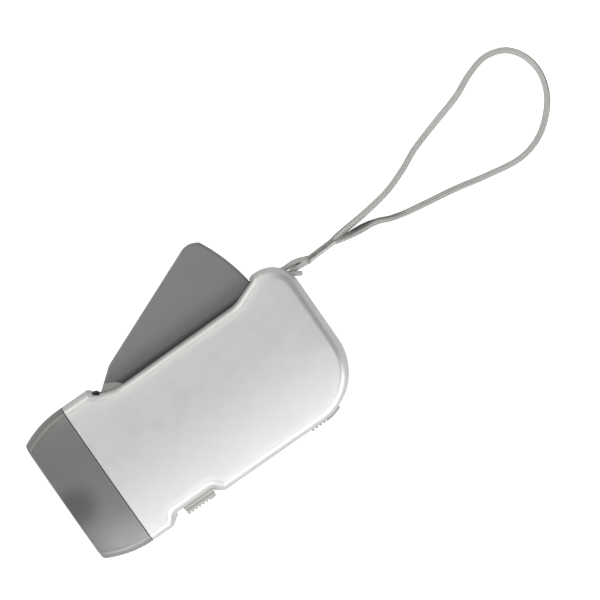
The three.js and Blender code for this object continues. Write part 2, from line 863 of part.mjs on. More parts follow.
function frontLens() {
  const edge = head.wall + gap.seat;
  const plate = headSolid(edge, [bezelX - lens.proud, lensBackX - gap.seat]);
  const ball = (lens.domeRadius ** 2 + lens.domeRise ** 2) / (2 * lens.domeRise);
  const rim = Math.asin(lens.domeRadius / ball);
  const steps = 3;
  const profile = [[0, 0], [lens.domeRadius, 0]];
  for (let k = steps; k >= 0; k -= 1) {
    const angle = (rim * k) / steps;
    profile.push([ball * Math.sin(angle), ball * (Math.cos(angle) - Math.cos(rim)) + lens.proud]);
  }
  const limit = headSolid(edge, [bezelX - gap.overrun, 0]);
  const domes = lampYs.map((y) => common(turnedAlongX(profile, 18, [bezelX, y, midZ], true), limit));
  return join(plate, ...domes);
}

// The cups start behind their plate, reach back over the lamp tips and take all the room that the
// head leaves round each lamp.
const lampFootX = lampBoard.faceX - gap.seat;
const cupX = mirrorX + gap.weld;
const cupDepth = lampFootX - lamp.bodyHeight + reflector.lampOverlap - cupX;

function cupRadius() {
  const { low, taper } = headEdges(mirrorX);
  const cover = head.wall + gap.slide + reflector.skin + gap.seam;
  const roomAlongY = lampYs[0] - low - cover;
  const roomAlongZ = midZ * taper - cover;
  return Math.min(roomAlongY, roomAlongZ);
}

function lampReflector() {
  const { flange, throatRadius, skin, flarePower } = reflector;
  const mouth = cupRadius();
  const steps = 4;
  const bowl = (extra) => {
    const profile = [[0, -gap.weld], [mouth + extra, -gap.weld]];
    for (let k = 1; k <= steps; k += 1) {
      const share = k / steps;
      profile.push([mouth + (throatRadius - mouth) * share ** flarePower + extra, cupDepth * share]);
    }
    return [...profile, [0, cupDepth]];
  };
  const bore = [
    [0, -gap.overrun],
    [throatRadius, -gap.overrun],
    [throatRadius, cupDepth + gap.overrun],
    [0, cupDepth + gap.overrun],
  ];
  const atLamps = (profile) => lampYs.map((y) => turnedAlongX(profile, 16, [cupX, y, midZ]));
  const plate = headSolid(head.wall + gap.slide, [mirrorX, mirrorX + flange]);
  const outside = join(plate, ...atLamps(bowl(skin)));
  return cut(outside, ...atLamps(bowl(0)), ...atLamps(bore), box([bezelX, mirrorX], across, throughout));
}

place('head_cover', headCover(), materials.smoked);
place('front_lens', frontLens(), materials.clear);
place('reflector', lampReflector(), materials.mirror);

// Lamps on their board, pointing at the lens

function lampForm() {
  const { radius, rimRadius, rimHeight, bodyHeight } = lamp;
  const profile = [[0, 0], [rimRadius, 0], [rimRadius, rimHeight], [radius, rimHeight]];
  const steps = 4;
  for (let k = 0; k <= steps; k += 1) {
    const [out, up] = polar(radius, (90 * k) / steps);
    profile.push([out, bodyHeight - radius + up]);
  }
  return turnedAlongX(profile, 14, [0, 0, 0], true);
}

['lamp_lower', 'lamp_upper'].forEach((name, i) => {
  place(name, lampForm(), materials.lampClear, [lampFootX, lampYs[i], midZ]);
});

const boardForm = box([lampBoard.faceX, boardBackX], boardY, spread(midZ, boardHeight));
place('lamp_board', boardForm, materials.board);

// Lever: a channel of roof, end wall and two side plates, drawn closed about its pin

const skirtBearing = bearingAt(lever.skirtInset, leverReach) - lever.openAngle;
const leverZ = spread(0, lever.width);

function leverCorners() {
  const { noseX, noseY, shoulderX, shoulderRadius, faceRise, tailRadius } = lever;
  const hub = Math.hypot(noseX, noseY);
  const noseBearing = Math.atan2(noseY, noseX) / degree;
  const hubSweep = fullTurn + bearingAt(lever.skirtInset, hub) - lever.openAngle - noseBearing;
  const hubSteps = 12;
  const arcSteps = 3;
  const corners = [[shoulderX, faceRise, shoulderRadius, arcSteps], [noseX, noseY]];
  for (let k = 1; k <= hubSteps; k += 1) {
    corners.push(polar(hub, noseBearing + (hubSweep * k) / hubSteps));
  }
  const topBearing = bearingAt(faceRise, leverReach);
  const endSteps = 6;
  for (let k = 0; k < endSteps - 1; k += 1) {
    corners.push(polar(leverReach, skirtBearing + ((topBearing - skirtBearing) * k) / endSteps));
  }
  corners.push([...polar(leverReach, topBearing), tailRadius, 4]);
  return corners;
}

function leverPlates() {
  const half = lever.width / 2;
  const round = lever.edgeRound;
  const eased = round * (1 - Math.SQRT1_2);
  const edge = [
    [round, half],
    [eased, half - eased],
    [0, half - round],
  ];
  const rings = [...edge.map(([inset, z]) => [inset, -z]), ...edge.reverse()].map(([inset, z]) =>
    roundedOutline(leverCorners(), inset).map(([x, y]) => new THREE.Vector3(x, y, z)),
  );
  const hubZ = spread(0, lever.width + 2 * lever.hubProud);
  const side = prism(roundedOutline(leverCorners()), spread(0, 2 * lever.width));
  return join(loft(rings, inPlan), common(disc([0, 0], lever.hubRadius, hubZ, 28), side));
}

function leverHollow() {
  const { roof, faceRise, shoulderX, noseX, noseY, tailRadius, shoulderRadius, skin } = lever;
  const inner = leverReach - roof;
  const top = faceRise - roof;
  const noseTop = noseY - roof / 1.5;
  const behindHub = -lever.hubRadius - gap.overrun;
  const corners = [
    [shoulderX, top, shoulderRadius, 2],
    [noseX, noseTop],
    [behindHub, noseTop],
    [behindHub, -inner],
    [inner * Math.cos(40 * degree), -inner],
  ];
  const steps = 5;
  for (let k = steps; k > 0; k -= 1) {
    corners.push(polar(inner, (-30 * k) / steps));
  }
  corners.push([Math.sqrt(inner ** 2 - top ** 2), top, tailRadius - roof, 3]);
  return prism(roundedOutline(corners), spread(0, lever.width - 2 * skin));
}

// Involute teeth. The flank points of one tooth run from root to tip, as radius and half angle.

const pinionFlank = 2;
const wheelFlank = 1;

function toothProfile(teeth, size, flankSteps) {
  const pitch = pitchRadius(teeth, size);
  const base = pitch * Math.cos(train.pressureAngle * degree);
  const tip = tipRadius(teeth, size);
  const root = pitch - train.dedendumShare * size;
  const involute = (radius) => {
    const angle = Math.acos(Math.min(1, base / radius));
    return Math.tan(angle) - angle;
  };
  const halfTooth = Math.PI / (2 * teeth) - train.backlash / (2 * pitch);
  const start = Math.max(root, base);
  const flank = root < base ? [[root, halfTooth + involute(pitch)]] : [];
  for (let k = 0; k <= flankSteps; k += 1) {
    const radius = start + ((tip - start) * k) / flankSteps;
    flank.push([radius, halfTooth + involute(pitch) - involute(radius)]);
  }
  return flank;
}

// One tooth's points about a middle angle, in turning order
function toothPoints(profile, middle) {
  const rising = profile.map(([radius, half]) => [radius, middle - half]);
  const falling = profile.map(([radius, half]) => [radius, middle + half]).reverse();
  return [...rising, ...falling].map(([radius, angle]) => polar(radius, angle / degree));
}

function gearOutline(teeth, size, flankSteps, phase) {
  const profile = toothProfile(teeth, size, flankSteps);
  const points = [];
  for (let i = 0; i < teeth; i += 1) {
    points.push(...toothPoints(profile, phase + (i / teeth) * 2 * Math.PI));
  }
  return points;
}

// The phase that puts a gap of the driven gear on the tooth of its driver along the line of centres
function meshPhase(teeth, driverTeeth, driverPhase, bearing) {
  const line = bearing * degree;
  return line + Math.PI - (Math.PI - driverTeeth * (line - driverPhase)) / teeth;
}

// The toothed sector hangs from the roof on a curved arm about the pin
const sectorLow = firstBearing - lever.openAngle - train.sectorLeadAngle;
const sectorPitch = fullTurn / sectorTeeth;
const sectorFirstTooth = sectorLow + sectorPitch / 2;

function leverSector() {
  const { sectorModule, dedendumShare, sectorRim, sectorTrailAngle } = train;
  const profile = toothProfile(sectorTeeth, sectorModule, wheelFlank);
  const root = sectorRadius - dedendumShare * sectorModule;
  const inner = root - sectorRim;
  const cutTeeth = Math.floor((firstBearing + sectorTrailAngle - sectorLow) / sectorPitch);
  const points = [];
  for (let i = 0; i < cutTeeth; i += 1) {
    points.push(...toothPoints(profile, (sectorFirstTooth + i * sectorPitch) * degree));
  }
  const plainFrom = sectorFirstTooth + cutTeeth * sectorPitch;
  const armTop = bearingAt(lever.faceRise - lever.roof / 2, root);
  const steps = 7;
  for (let k = 0; k <= steps; k += 1) {
    points.push(polar(root, plainFrom + ((armTop - plainFrom) * k) / steps));
  }
  for (let k = 0; k <= steps; k += 1) {
    points.push(polar(inner, armTop + ((sectorLow - armTop) * k) / steps));
  }
  return prism(points, spread(0, layer.middleHeight));
}

// Where the closed lever holds its latch window, below the pin
const closedWindow = latch.windowAngle - (lever.openAngle - lever.travelAngle);
const [windowRun, windowFall] = polar(leverReach - lever.roof / 2, closedWindow);
const hookY = spread(pivot[1] - windowFall, latch.hookHeight);

function latchWindow() {
  const half = bearingAt(latch.hookHeight / 2 + 2 * gap.slide, leverReach);
  const [near, far] = [leverReach - 2 * lever.roof, leverReach + lever.roof];
  const points = [
    polar(near, -latch.windowAngle - half),
    polar(far, -latch.windowAngle - half),
    polar(far, -latch.windowAngle + half),
    polar(near, -latch.windowAngle + half),
  ];
  return prism(points, spread(0, latch.armHeight + 2 * gap.slide));
}

// Two lugs on the side plates meet the casing rim and stop the open lever
function stopLugs() {
  const { stopLowAngle, stopHighAngle, stopReach, roof, width, skin } = lever;
  const [near, far] = [leverReach - roof, leverReach + stopReach];
  const points = [
    polar(near, stopLowAngle - lever.openAngle),
    polar(far, stopLowAngle - lever.openAngle),
    polar(far, stopHighAngle - lever.openAngle),
    polar(near, stopHighAngle - lever.openAngle),
  ];
  return [-1, 1].map((side) => prism(points, spread(side * (width / 2 - skin), 2 * skin)));
}

function leverSolid() {
  const channel = cut(leverPlates(), leverHollow());
  const bore = disc([0, 0], lever.pinRadius + gap.seat, spread(0, 2 * lever.width), 12);
  return cut(join(channel, leverSector(), ...stopLugs()), latchWindow(), bore);
}

place('squeeze_lever', leverSolid(), materials.leverGrey, [...pivot, midZ], lever.openAngle);
place('lever_pin', disc([0, 0], lever.pinRadius, axleZ, 14), materials.steel, [...pivot, 0]);

// Torsion spring round the pin, one leg under the lever roof and one on its stop

function springForm() {
  const { wire, radius, pitch, turns, steps, sides, legReach, footReach } = spring;
  const [lowEnd, highEnd] = spread(0, turns * pitch);
  const legRise = legReach * Math.tan(lever.openAngle * degree) - wire;
  const points = [
    [legReach, radius + legRise, lowEnd],
    [legReach / 2, radius + legRise / 2, lowEnd],
  ];
  const sweep = (turns + 0.25) * fullTurn;
  const count = Math.round((sweep / fullTurn) * steps);
  for (let k = 0; k <= count; k += 1) {
    points.push([...polar(radius, 90 + (sweep * k) / count), lowEnd + ((highEnd - lowEnd) * k) / count]);
  }
  points.push([-radius, -footReach / 2, highEnd], [-radius, -footReach, highEnd]);
  return tube(points, wire / 2, sides, points.length);
}

place('lever_spring', springForm(), materials.steel, [...pivot, midZ]);

// Gear train

const sectorPhase = (sectorFirstTooth + lever.openAngle) * degree;
const drivePhase = meshPhase(train.pinionTeeth, sectorTeeth, sectorPhase, firstBearing);
const secondPinionPhase = meshPhase(train.pinionTeeth, train.firstTeeth, 0, secondBearing);
const rotorPinionPhase = meshPhase(train.pinionTeeth, train.secondTeeth, 0, rotorBearing);
const wheelOutline = (teeth) => gearOutline(teeth, train.wheelModule, wheelFlank, 0);
const pinionOutline = (size, phase) => gearOutline(train.pinionTeeth, size, pinionFlank, phase);
const boreRadius = train.axleRadius + gap.seat;
const axleForm = () => disc([0, 0], train.axleRadius, axleZ, 12);

function compound(hubRadius, ...gears) {
  const hub = disc([0, 0], hubRadius, hubZ, 16);
  return cut(join(hub, ...gears), disc([0, 0], boreRadius, [0, casing.thickness], 10));
}

function firstGear() {
  const pinion = prism(pinionOutline(train.sectorModule, drivePhase), middleZ);
  const wheel = prism(wheelOutline(train.firstTeeth), lowZ);
  const webRadius = drivePinionRadius + train.sectorModule;
  const web = disc([0, 0], webRadius, [lowZ[1] - gap.weld, middleZ[0]], 20);
  return compound(train.hubRadius, wheel, web, pinion);
}

function secondGear() {
  const pinionZ = [lowZ[0] - gap.seam / 2, lowZ[1] + gap.seam];
  const pinion = prism(pinionOutline(train.wheelModule, secondPinionPhase), pinionZ);
  const wheel = prism(wheelOutline(train.secondTeeth), highZ);
  return compound(train.secondHubRadius, pinion, wheel);
}

place('first_gear', firstGear(), materials.gearWhite, [...firstAxis, 0]);
place('second_gear', secondGear(), materials.gearWhite, [...secondAxis, 0]);
place('first_axle', axleForm(), materials.steel, [...firstAxis, 0]);
place('second_axle', axleForm(), materials.steel, [...secondAxis, 0]);

// Rotor: pinion, flywheel and ring magnet on one turning shaft

const onShaft = (outline, span) => prism(outline, span, [circle([0, 0], boreRadius, 10)]);
const rotorPinion = onShaft(
  pinionOutline(train.wheelModule, rotorPinionPhase),
  [highZ[0] - gap.seam, hubZ[1]],
);
const flywheel = onShaft(circle([0, 0], rotor.flywheelRadius, 28), flywheelZ);
const magnet = onShaft(circle([0, 0], rotor.magnetRadius, 24), magnetZ);

place('rotor_shaft', axleForm(), materials.steel, [...rotorAxis, 0]);
place('rotor_pinion', rotorPinion, materials.gearWhite, [...rotorAxis, 0]);
place('rotor_flywheel', flywheel, materials.steel, [...rotorAxis, 0]);
place('rotor_magnet', magnet, materials.ferrite, [...rotorAxis, 0]);

// Stator: two arms from a yoke to the jaws round the magnet, with the coil on the yoke

function statorCore() {
  const { armWidth, yokeWidth, poleGap, airGap } = stator;
  const [x, y] = rotorAxis;
  const bore = rotor.magnetRadius + airGap;
  const yokeX = spread(coilX, yokeWidth);
  const cutZ = [statorZ[0] - gap.overrun, statorZ[1] + gap.overrun];
  const frame = cut(
    box([yokeX[0], x], spread(y, statorSpan), statorZ),
    box([yokeX[1], x + statorSpan], spread(y, statorSpan - 2 * armWidth), cutZ),
  );
  const slit = box(spread(x, 4 * jawRadius), spread(y, poleGap), cutZ);
  const jaws = cut(disc(rotorAxis, jawRadius, statorZ, 36), slit);
  return cut(join(frame, jaws), disc(rotorAxis, bore, cutZ, 36));
}

// A block centred on the yoke: half sizes across X and Z, and a span along Y
function yokeBlock(half, [y0, y1]) {
  const [, y] = rotorAxis;
  return box(spread(coilX, 2 * half.x), [y + y0, y + y1], spread(statorMidZ, 2 * half.z));
}

function coilBobbin() {
  const [low, high] = spread(0, coil.length);
  const body = join(
    yokeBlock(coilBarrel, [low, high]),
    yokeBlock(coilRim, [low, low + coil.flange]),
    yokeBlock(coilRim, [high - coil.flange, high]),
  );
  return cut(body, yokeBlock(coilHole, [low - gap.overrun, high + gap.overrun]));
}

function coilWinding() {
  const corner = coil.windingDepth * coil.cornerShare;
  const signs = [[-1, -1], [1, -1], [1, 1], [-1, 1]];
  const outline = roundedOutline(signs.map(([sx, sz]) => [sx * coilWound.x, sz * coilWound.z, corner, 3]));
  const hole = signs.map(([sx, sz]) => [sx * (coilBarrel.x + gap.seat), sz * (coilBarrel.z + gap.seat)]);
  const length = coil.length - 2 * (coil.flange + gap.seat);
  const geometry = geometryOf(prism(outline, spread(0, length), [hole]));
  geometry.rotateX(Math.PI / 2);
  return geometry;
}

place('stator_core', statorCore(), materials.laminations);
place('coil_bobbin', coilBobbin(), materials.nylon);
place('coil_winding', coilWinding(), materials.copper, [coilX, rotorAxis[1], statorMidZ]);

// Lamp switch behind the scoop and the knob that drives it

const toggleMiddleY = toggleY + toggle.height / 2;

function slideSwitch() {
  const startX = stemX - knob.travel - toggle.wall;
  const body = box([startX, startX + toggle.length], [toggleY, toggleTopY], spread(midZ, toggle.width));
  return cut(body, box(stemTrackX, [toggleY - gap.overrun, toggleMiddleY], stemTrackZ));
}

place('slide_switch', slideSwitch(), materials.switchBlack);

function powerKnob() {
  const { length, topInset, baseInset, width, ribs, ribDepth, topRadius, baseRadius, ledgeInset } = knob;
  const endX = knobX + length;
  const corners = [
    [knobX, topInset, topRadius, 2],
    [endX, topInset, topRadius, 2],
    [endX, baseInset, baseRadius, 1],
    [knobX, baseInset, baseRadius, 1],
  ];
  const pad = prism(roundedOutline(corners), spread(midZ, width));
  const pitch = length / (ribs + 1);
  const grooves = [];
  for (let i = 1; i <= ribs; i += 1) {
    const grooveX = spread(knobX + i * pitch, pitch / 2);
    grooves.push(box(grooveX, [topInset - gap.overrun, topInset + ribDepth], throughout));
  }
  const ledgeX = [knobX - gap.overrun, endX + gap.overrun];
  const ledges = spread(midZ, width - 2 * gap.slide + gap.overrun).map((z) =>
    box(ledgeX, [topInset - gap.overrun, ledgeInset], spread(z, gap.overrun)),
  );
  const stemY = [baseInset - gap.weld, toggleMiddleY - gap.slide];
  const stem = box([stemX, stemX + knob.stemLength], stemY, spread(midZ, knob.stemWidth));
  return join(cut(pad, ...grooves, ...ledges), stem);
}

place('power_slider', powerKnob(), materials.sliderGrey);

// Lever latch: an outside pad, an arm through the casing edge and a hook for the closed lever

function lockSlider() {
  const { ribbedLength, proud, sunk, width, ribs, ribDepth, armWidth, armHeight } = latch;
  const pad = edgeBand(proud, sunk, [latchX, latchEndX], width);
  const pitch = ribbedLength / ribs;
  const grooves = [];
  for (let i = 0; i < ribs; i += 1) {
    const middleX = latchX + (i + 0.75) * pitch;
    grooves.push(box(spread(middleX, 0.4 * pitch), [-gap.overrun, ribDepth - proud], throughout));
  }
  const armZ = spread(midZ, armHeight);
  const innerFaceRun = Math.sqrt((leverReach - lever.roof) ** 2 - windowFall ** 2);
  const hookX = [armX, lever.pivotX + innerFaceRun - gap.weld];
  const arm = box([armX, armX + armWidth], [sunk - gap.weld, hookY[1]], armZ);
  return join(cut(pad, ...grooves), arm, box(hookX, hookY, armZ));
}

place('lock_slider', lockSlider(), materials.sliderGrey);

// Button cell in its pocket between two contact strips

const contactStrip = (z, reach) => {
  const [x, y] = cellPlace;
  return box(spread(x, 2 * reach), spread(y, cell.clipWidth), [z, z + cell.clip]);
};
const frontStripZ = cellZ[1] + gap.seat;
const backStripZ = cellZ[0] - gap.slide - gap.seat - cell.clip;

place('battery_cell', disc(cellPlace, cell.radius, cellZ, 28), materials.steel);
place('cell_contact_front', contactStrip(frontStripZ, cell.radius - cell.clipInset), materials.mirror);
place('cell_contact_back', contactStrip(backStripZ, cell.radius + cell.ringWall), materials.mirror);

// Screws from the back, one for each boss

function screwForm() {
  const { headRadius, headHeight, shankRadius } = screw;
  const tip = headHeight + screwLength;
  const profile = [
    [0, 0],
    [headRadius, 0],
    [headRadius, headHeight],
    [shankRadius, headHeight],
    [shankRadius, tip],
    [0, tip],
  ];
  return solidOf(turned(profile, 12));
}

screwPlaces.forEach(([x, y], i) => {
  place(`casing_screw_${i + 1}`, screwForm(), materials.steel, [x, y, screw.headZ]);
});

// Strap: a loop round the post in the tail, a crimped ferrule and the wrist loop lying on the surface

const anchorRoute = [
  [94.3, 46.75, 8.5],
  [92, 47.4, 9.4],
  [88.5, 48, 10.6],
  [84.5, 48, 11.4],
  [81, 47.4, 11.5],
  [78.6, 46.2, 11.5],
  [78.3, 44.2, 11.5],
  [80.3, 42.7, 11.5],
  [84.5, 44.2, 11.4],
  [88.5, 44.7, 10.6],
  [92, 45, 9.4],
  [94.3, 45.25, 8.5],
];

const ferruleRoute = [
  [94.6, 46, 8.4],
  [98.4, 46.1, 6.7],
  [102.2, 46.2, 5],
];

const wristRoute = [
  [102.6, 47.2, 4.9],
  [107, 47.4, 3.2],
  [113, 47.6, 1.7],
  [119.5, 48, 1],
  [125.7, 49, 0.95],
  [133.4, 51.5, 0.95],
  [139.6, 54.4, 0.95],
  [149.6, 57.6, 0.95],
  [160.8, 60.9, 0.95],
  [168.3, 64.3, 0.95],
  [175.4, 66, 0.95],
  [182, 64.2, 0.95],
  [186, 59.4, 0.95],
  [187.4, 52.6, 0.95],
  [185.6, 45.6, 0.95],
  [181.6, 40, 0.95],
  [175.1, 35, 0.95],
  [167, 32.8, 0.95],
  [154.4, 34.4, 0.95],
  [143.1, 36.8, 0.95],
  [134, 38.2, 0.95],
  [124.5, 40.2, 0.95],
  [118, 42.2, 1.1],
  [112, 43.8, 1.9],
  [107, 44.7, 3.2],
  [102.6, 45, 4.9],
];

place('strap_anchor_loop', tube(anchorRoute, strap.anchorRadius, strap.sides, 22), materials.strapGrey);
place('strap_ferrule', tube(ferruleRoute, strap.ferruleRadius, 12, 4), materials.mirror);
place('wrist_strap', tube(wristRoute, strap.cordRadius, strap.sides, 60), materials.strapGrey);

export default torch;
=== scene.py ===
# %% [markdown]
# # A hand press dynamo torch, dressed for its photograph
#
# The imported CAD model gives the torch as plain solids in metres. This lesson dresses it piece by
# piece: first the camera and the strap, then the moulded shells, the smoked head with its lamps,
# the squeeze lever, the two sliders and the screws, and last the finishes and the light.
# X runs from the lens to the tail, Y from the switch edge to the lever edge and Z up.

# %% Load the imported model
import math

import bmesh
import bpy
import numpy as np
from mathutils import Matrix, Vector


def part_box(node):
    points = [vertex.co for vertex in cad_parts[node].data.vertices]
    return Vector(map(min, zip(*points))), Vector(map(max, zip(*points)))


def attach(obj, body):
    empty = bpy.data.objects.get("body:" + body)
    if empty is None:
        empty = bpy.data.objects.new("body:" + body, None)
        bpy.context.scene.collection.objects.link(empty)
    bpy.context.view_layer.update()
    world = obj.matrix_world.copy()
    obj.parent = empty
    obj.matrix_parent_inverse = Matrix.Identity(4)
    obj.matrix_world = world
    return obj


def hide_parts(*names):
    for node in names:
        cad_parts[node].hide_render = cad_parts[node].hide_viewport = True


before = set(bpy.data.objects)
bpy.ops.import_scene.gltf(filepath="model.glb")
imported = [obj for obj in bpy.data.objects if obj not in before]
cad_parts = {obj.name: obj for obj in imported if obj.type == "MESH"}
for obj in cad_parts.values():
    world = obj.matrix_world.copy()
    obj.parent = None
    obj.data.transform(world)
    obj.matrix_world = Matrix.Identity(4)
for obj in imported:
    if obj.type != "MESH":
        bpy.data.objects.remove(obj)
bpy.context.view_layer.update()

# %% [markdown]
# A maker's drawing of a torch is in millimetres, with its zero at the seam between head and casing.
# Every piece below is drawn that way and turned into metres in one place, so that a number in this
# file can be laid against a ruler.

# %% From the drawing to the frame
MILLIMETRE = 0.001
SEAM_X, MIDDLE_Y = 34.12, 25.85


def in_frame(points):
    """Points of the drawing, in millimetres, as points of the frame, in metres."""
    moved = np.asarray(points, float) - (SEAM_X, MIDDLE_Y, 0)
    return moved * MILLIMETRE


def on_drawing(points):
    """Points of the frame as points of the drawing."""
    return np.asarray(points, float) / MILLIMETRE + (SEAM_X, MIDDLE_Y, 0)


# %% [markdown]
# The photograph looks almost straight down on a torch that lies on its back, its tail pointing up
# and to the right. A long lens far away keeps the edges as parallel as they are there. The camera
# leans about two degrees to the lever's side, so a little more of the wall shows on that side.

# %% Camera
VIEW_CENTRE = in_frame([82.23, 36.3, 11.5])
VIEW_WIDTH = 0.192
VIEW_TURN = math.radians(34.87)
VIEW_LEAN = math.radians(2.2)
CAMERA_DISTANCE = 2.0

camera_data = bpy.data.cameras.new("photo_camera")
camera_data.lens = camera_data.sensor_width * CAMERA_DISTANCE / VIEW_WIDTH
camera_data.clip_end = 10 * CAMERA_DISTANCE
camera = bpy.data.objects.new("photo_camera", camera_data)
bpy.context.collection.objects.link(camera)
turned = Matrix.Rotation(-VIEW_LEAN, 4, "X") @ Matrix.Rotation(-VIEW_TURN, 4, "Z")
camera.matrix_world = (
    Matrix.Translation(Vector(VIEW_CENTRE))
    @ turned
    @ Matrix.Translation((0, 0, CAMERA_DISTANCE))
)
bpy.context.scene.camera = camera
print(f"camera: {camera_data.lens:.0f} mm lens, {CAMERA_DISTANCE} m away")

# %% [markdown]
# The strap is flat woven cord, 2.4 mm wide and 1.3 mm thick in the wrist loop and a little finer in
# the short loop that anchors it round a post inside the tail. The wrist loop lies on the table, and
# the four ends are pressed flat in a crimped metal tube. A route is a row of places read along the
# cord, each with its height over the table. A flat cord also turns about its own length as it goes,
# so besides its route it has a twist: the angle between its broad side and the table.

# %% Routes of the strap
WRIST_ROUTE = [
    [100.8, 45.75, 5.4], [103.4, 46.0, 4.5], [107, 46.3, 3.2], [113, 46.7, 1.7],
    [119.5, 47.5, 1], [125.7, 48.7, 0.95],
    [133.4, 51.5, 0.95], [139.6, 54.4, 0.95], [149.6, 57.6, 0.95], [160.8, 60.9, 0.95],
    [168.3, 64.3, 0.95], [175.4, 66, 0.95], [182, 64.2, 0.95], [186, 59.4, 0.95],
    [187.4, 52.6, 0.95], [185.6, 45.6, 0.95], [181.6, 40, 0.95], [175.1, 35, 0.95],
    [167, 32.8, 0.95], [154.4, 34.4, 0.95], [143.1, 36.8, 0.95], [134, 38.2, 0.95],
    [127.2, 39.3, 0.95], [124.3, 39.9, 0.95], [121, 40.8, 1], [118, 42.1, 1.15], [114.8, 43, 1.5],
    [112, 43.4, 2], [109.3, 43.7, 2.6], [105.4, 44.3, 3.75], [103.2, 44.85, 4.55],
    [100.8, 45.15, 5.4],
]
ANCHOR_ROUTE = [
    [93.2, 45.75, 8.8], [91.2, 46.1, 9.6], [89.6, 46.7, 10.2], [87.3, 47.3, 10.9], [84.4, 47.35, 11.4],
    [81, 47.4, 11.5], [78.6, 46.2, 11.5], [78.3, 44.2, 11.5], [80.2, 43, 11.5], [82.8, 44.3, 11.5],
    [85.3, 45.35, 11.2], [88.2, 45.3, 10.5], [91, 44.95, 9.6], [93.2, 44.75, 8.8],
]
FERRULE_ROUTE = [[91.3, 45.2, 9.55], [96.6, 45.35, 7.25], [101.8, 45.45, 4.95]]
STUB_ROUTE = [[84.7, 44.7, 12.1], [85.7, 44.2, 12.2], [86.7, 43.6, 11.8], [87.6, 43.0, 11.2]]
CORD_STEP = 0.16
SAMPLES_A_SPAN = 24


def between(first, second, start, end, at):
    """The point between two points that are passed at start and at end."""
    return first * (end - at) / (end - start) + second * (at - start) / (end - start)


def smooth_route(corners, step):
    """A centripetal curve through the corners, as points an even step apart, and its length."""
    knots = np.asarray(corners, float)
    knots = np.vstack([2 * knots[0] - knots[1], knots, 2 * knots[-1] - knots[-2]])
    fine = []
    for four in zip(knots, knots[1:], knots[2:], knots[3:]):
        gaps = [math.sqrt(np.linalg.norm(q - p)) for p, q in zip(four, four[1:])]
        t0, t1, t2, t3 = np.cumsum([0.0] + gaps)
        for t in np.linspace(t1, t2, SAMPLES_A_SPAN, endpoint=False):
            a, b, c, d = four
            near, mid, far = between(a, b, t0, t1, t), between(b, c, t1, t2, t), between(c, d, t2, t3, t)
            fine.append(between(between(near, mid, t0, t2, t), between(mid, far, t1, t3, t), t1, t2, t))
    fine = np.array(fine + [knots[-2]])
    along = np.concatenate([[0], np.cumsum(np.linalg.norm(np.diff(fine, axis=0), axis=1))])
    at = np.linspace(0, along[-1], max(2, round(along[-1] / step)) + 1)
    return np.stack([np.interp(at, along, fine[:, k]) for k in range(3)], axis=1), along[-1]


wrist_line, wrist_length = smooth_route(WRIST_ROUTE, CORD_STEP)
anchor_line, anchor_length = smooth_route(ANCHOR_ROUTE, CORD_STEP)
print(f"wrist loop {wrist_length:.0f} mm, anchor loop {anchor_length:.0f} mm")

# %% [markdown]
# Cord, crimped tube and every moulded form below are rings of points with faces between them and a
# cap on each end. A ring of a cord stands square to its route, which takes two directions across it.

# %% Rings and faces
def new_piece(name, points, faces, smooth=True):
    """A mesh object from points on the drawing."""
    mesh = bpy.data.meshes.new(name)
    mesh.from_pydata(in_frame(points).tolist(), [], faces)
    mesh.validate()
    if smooth:
        mesh.shade_smooth()
    piece = bpy.data.objects.new(name, mesh)
    bpy.context.collection.objects.link(piece)
    return piece


def tube_faces(rings, around):
    """Faces between rings of equal counts, with a cap on each end."""
    faces = [
        (i * around + k, i * around + (k + 1) % around,
         (i + 1) * around + (k + 1) % around, (i + 1) * around + k)
        for i in range(rings - 1) for k in range(around)
    ]
    last = (rings - 1) * around
    return faces + [tuple(range(around))[::-1], tuple(range(last, last + around))]


def outward(piece):
    """Turns the faces of a closed piece outwards."""
    work = bmesh.new()
    work.from_mesh(piece.data)
    bmesh.ops.recalc_face_normals(work, faces=work.faces)
    work.to_mesh(piece.data)
    work.free()
    return piece


def square_to(ahead):
    """Two directions square to the way ahead: one level, the other rising."""
    side = np.cross((0, 0, 1.0), ahead)
    side /= np.linalg.norm(side)
    return side, np.cross(ahead, side)


print("a tube of 3 rings of 4 points has", len(tube_faces(3, 4)), "faces")

# %% [markdown]
# Each ring of the cord is a rounded flat section. The weave is real relief: it shows as four
# columns of small stitches, each column half a stitch on from the next, so the surface rises and
# falls with the place along the cord and across it. The same two numbers go into the UV map, where
# the finish reads them later.

# %% Flat cord with its braid
BRAID_PITCH = 0.85
BRAID_RELIEF = 0.075
COLUMNS_A_SIDE = 2
LOW_ROUTE = 2.0
LYING_HEIGHT, TABLE_GAP = 0.95, 0.05


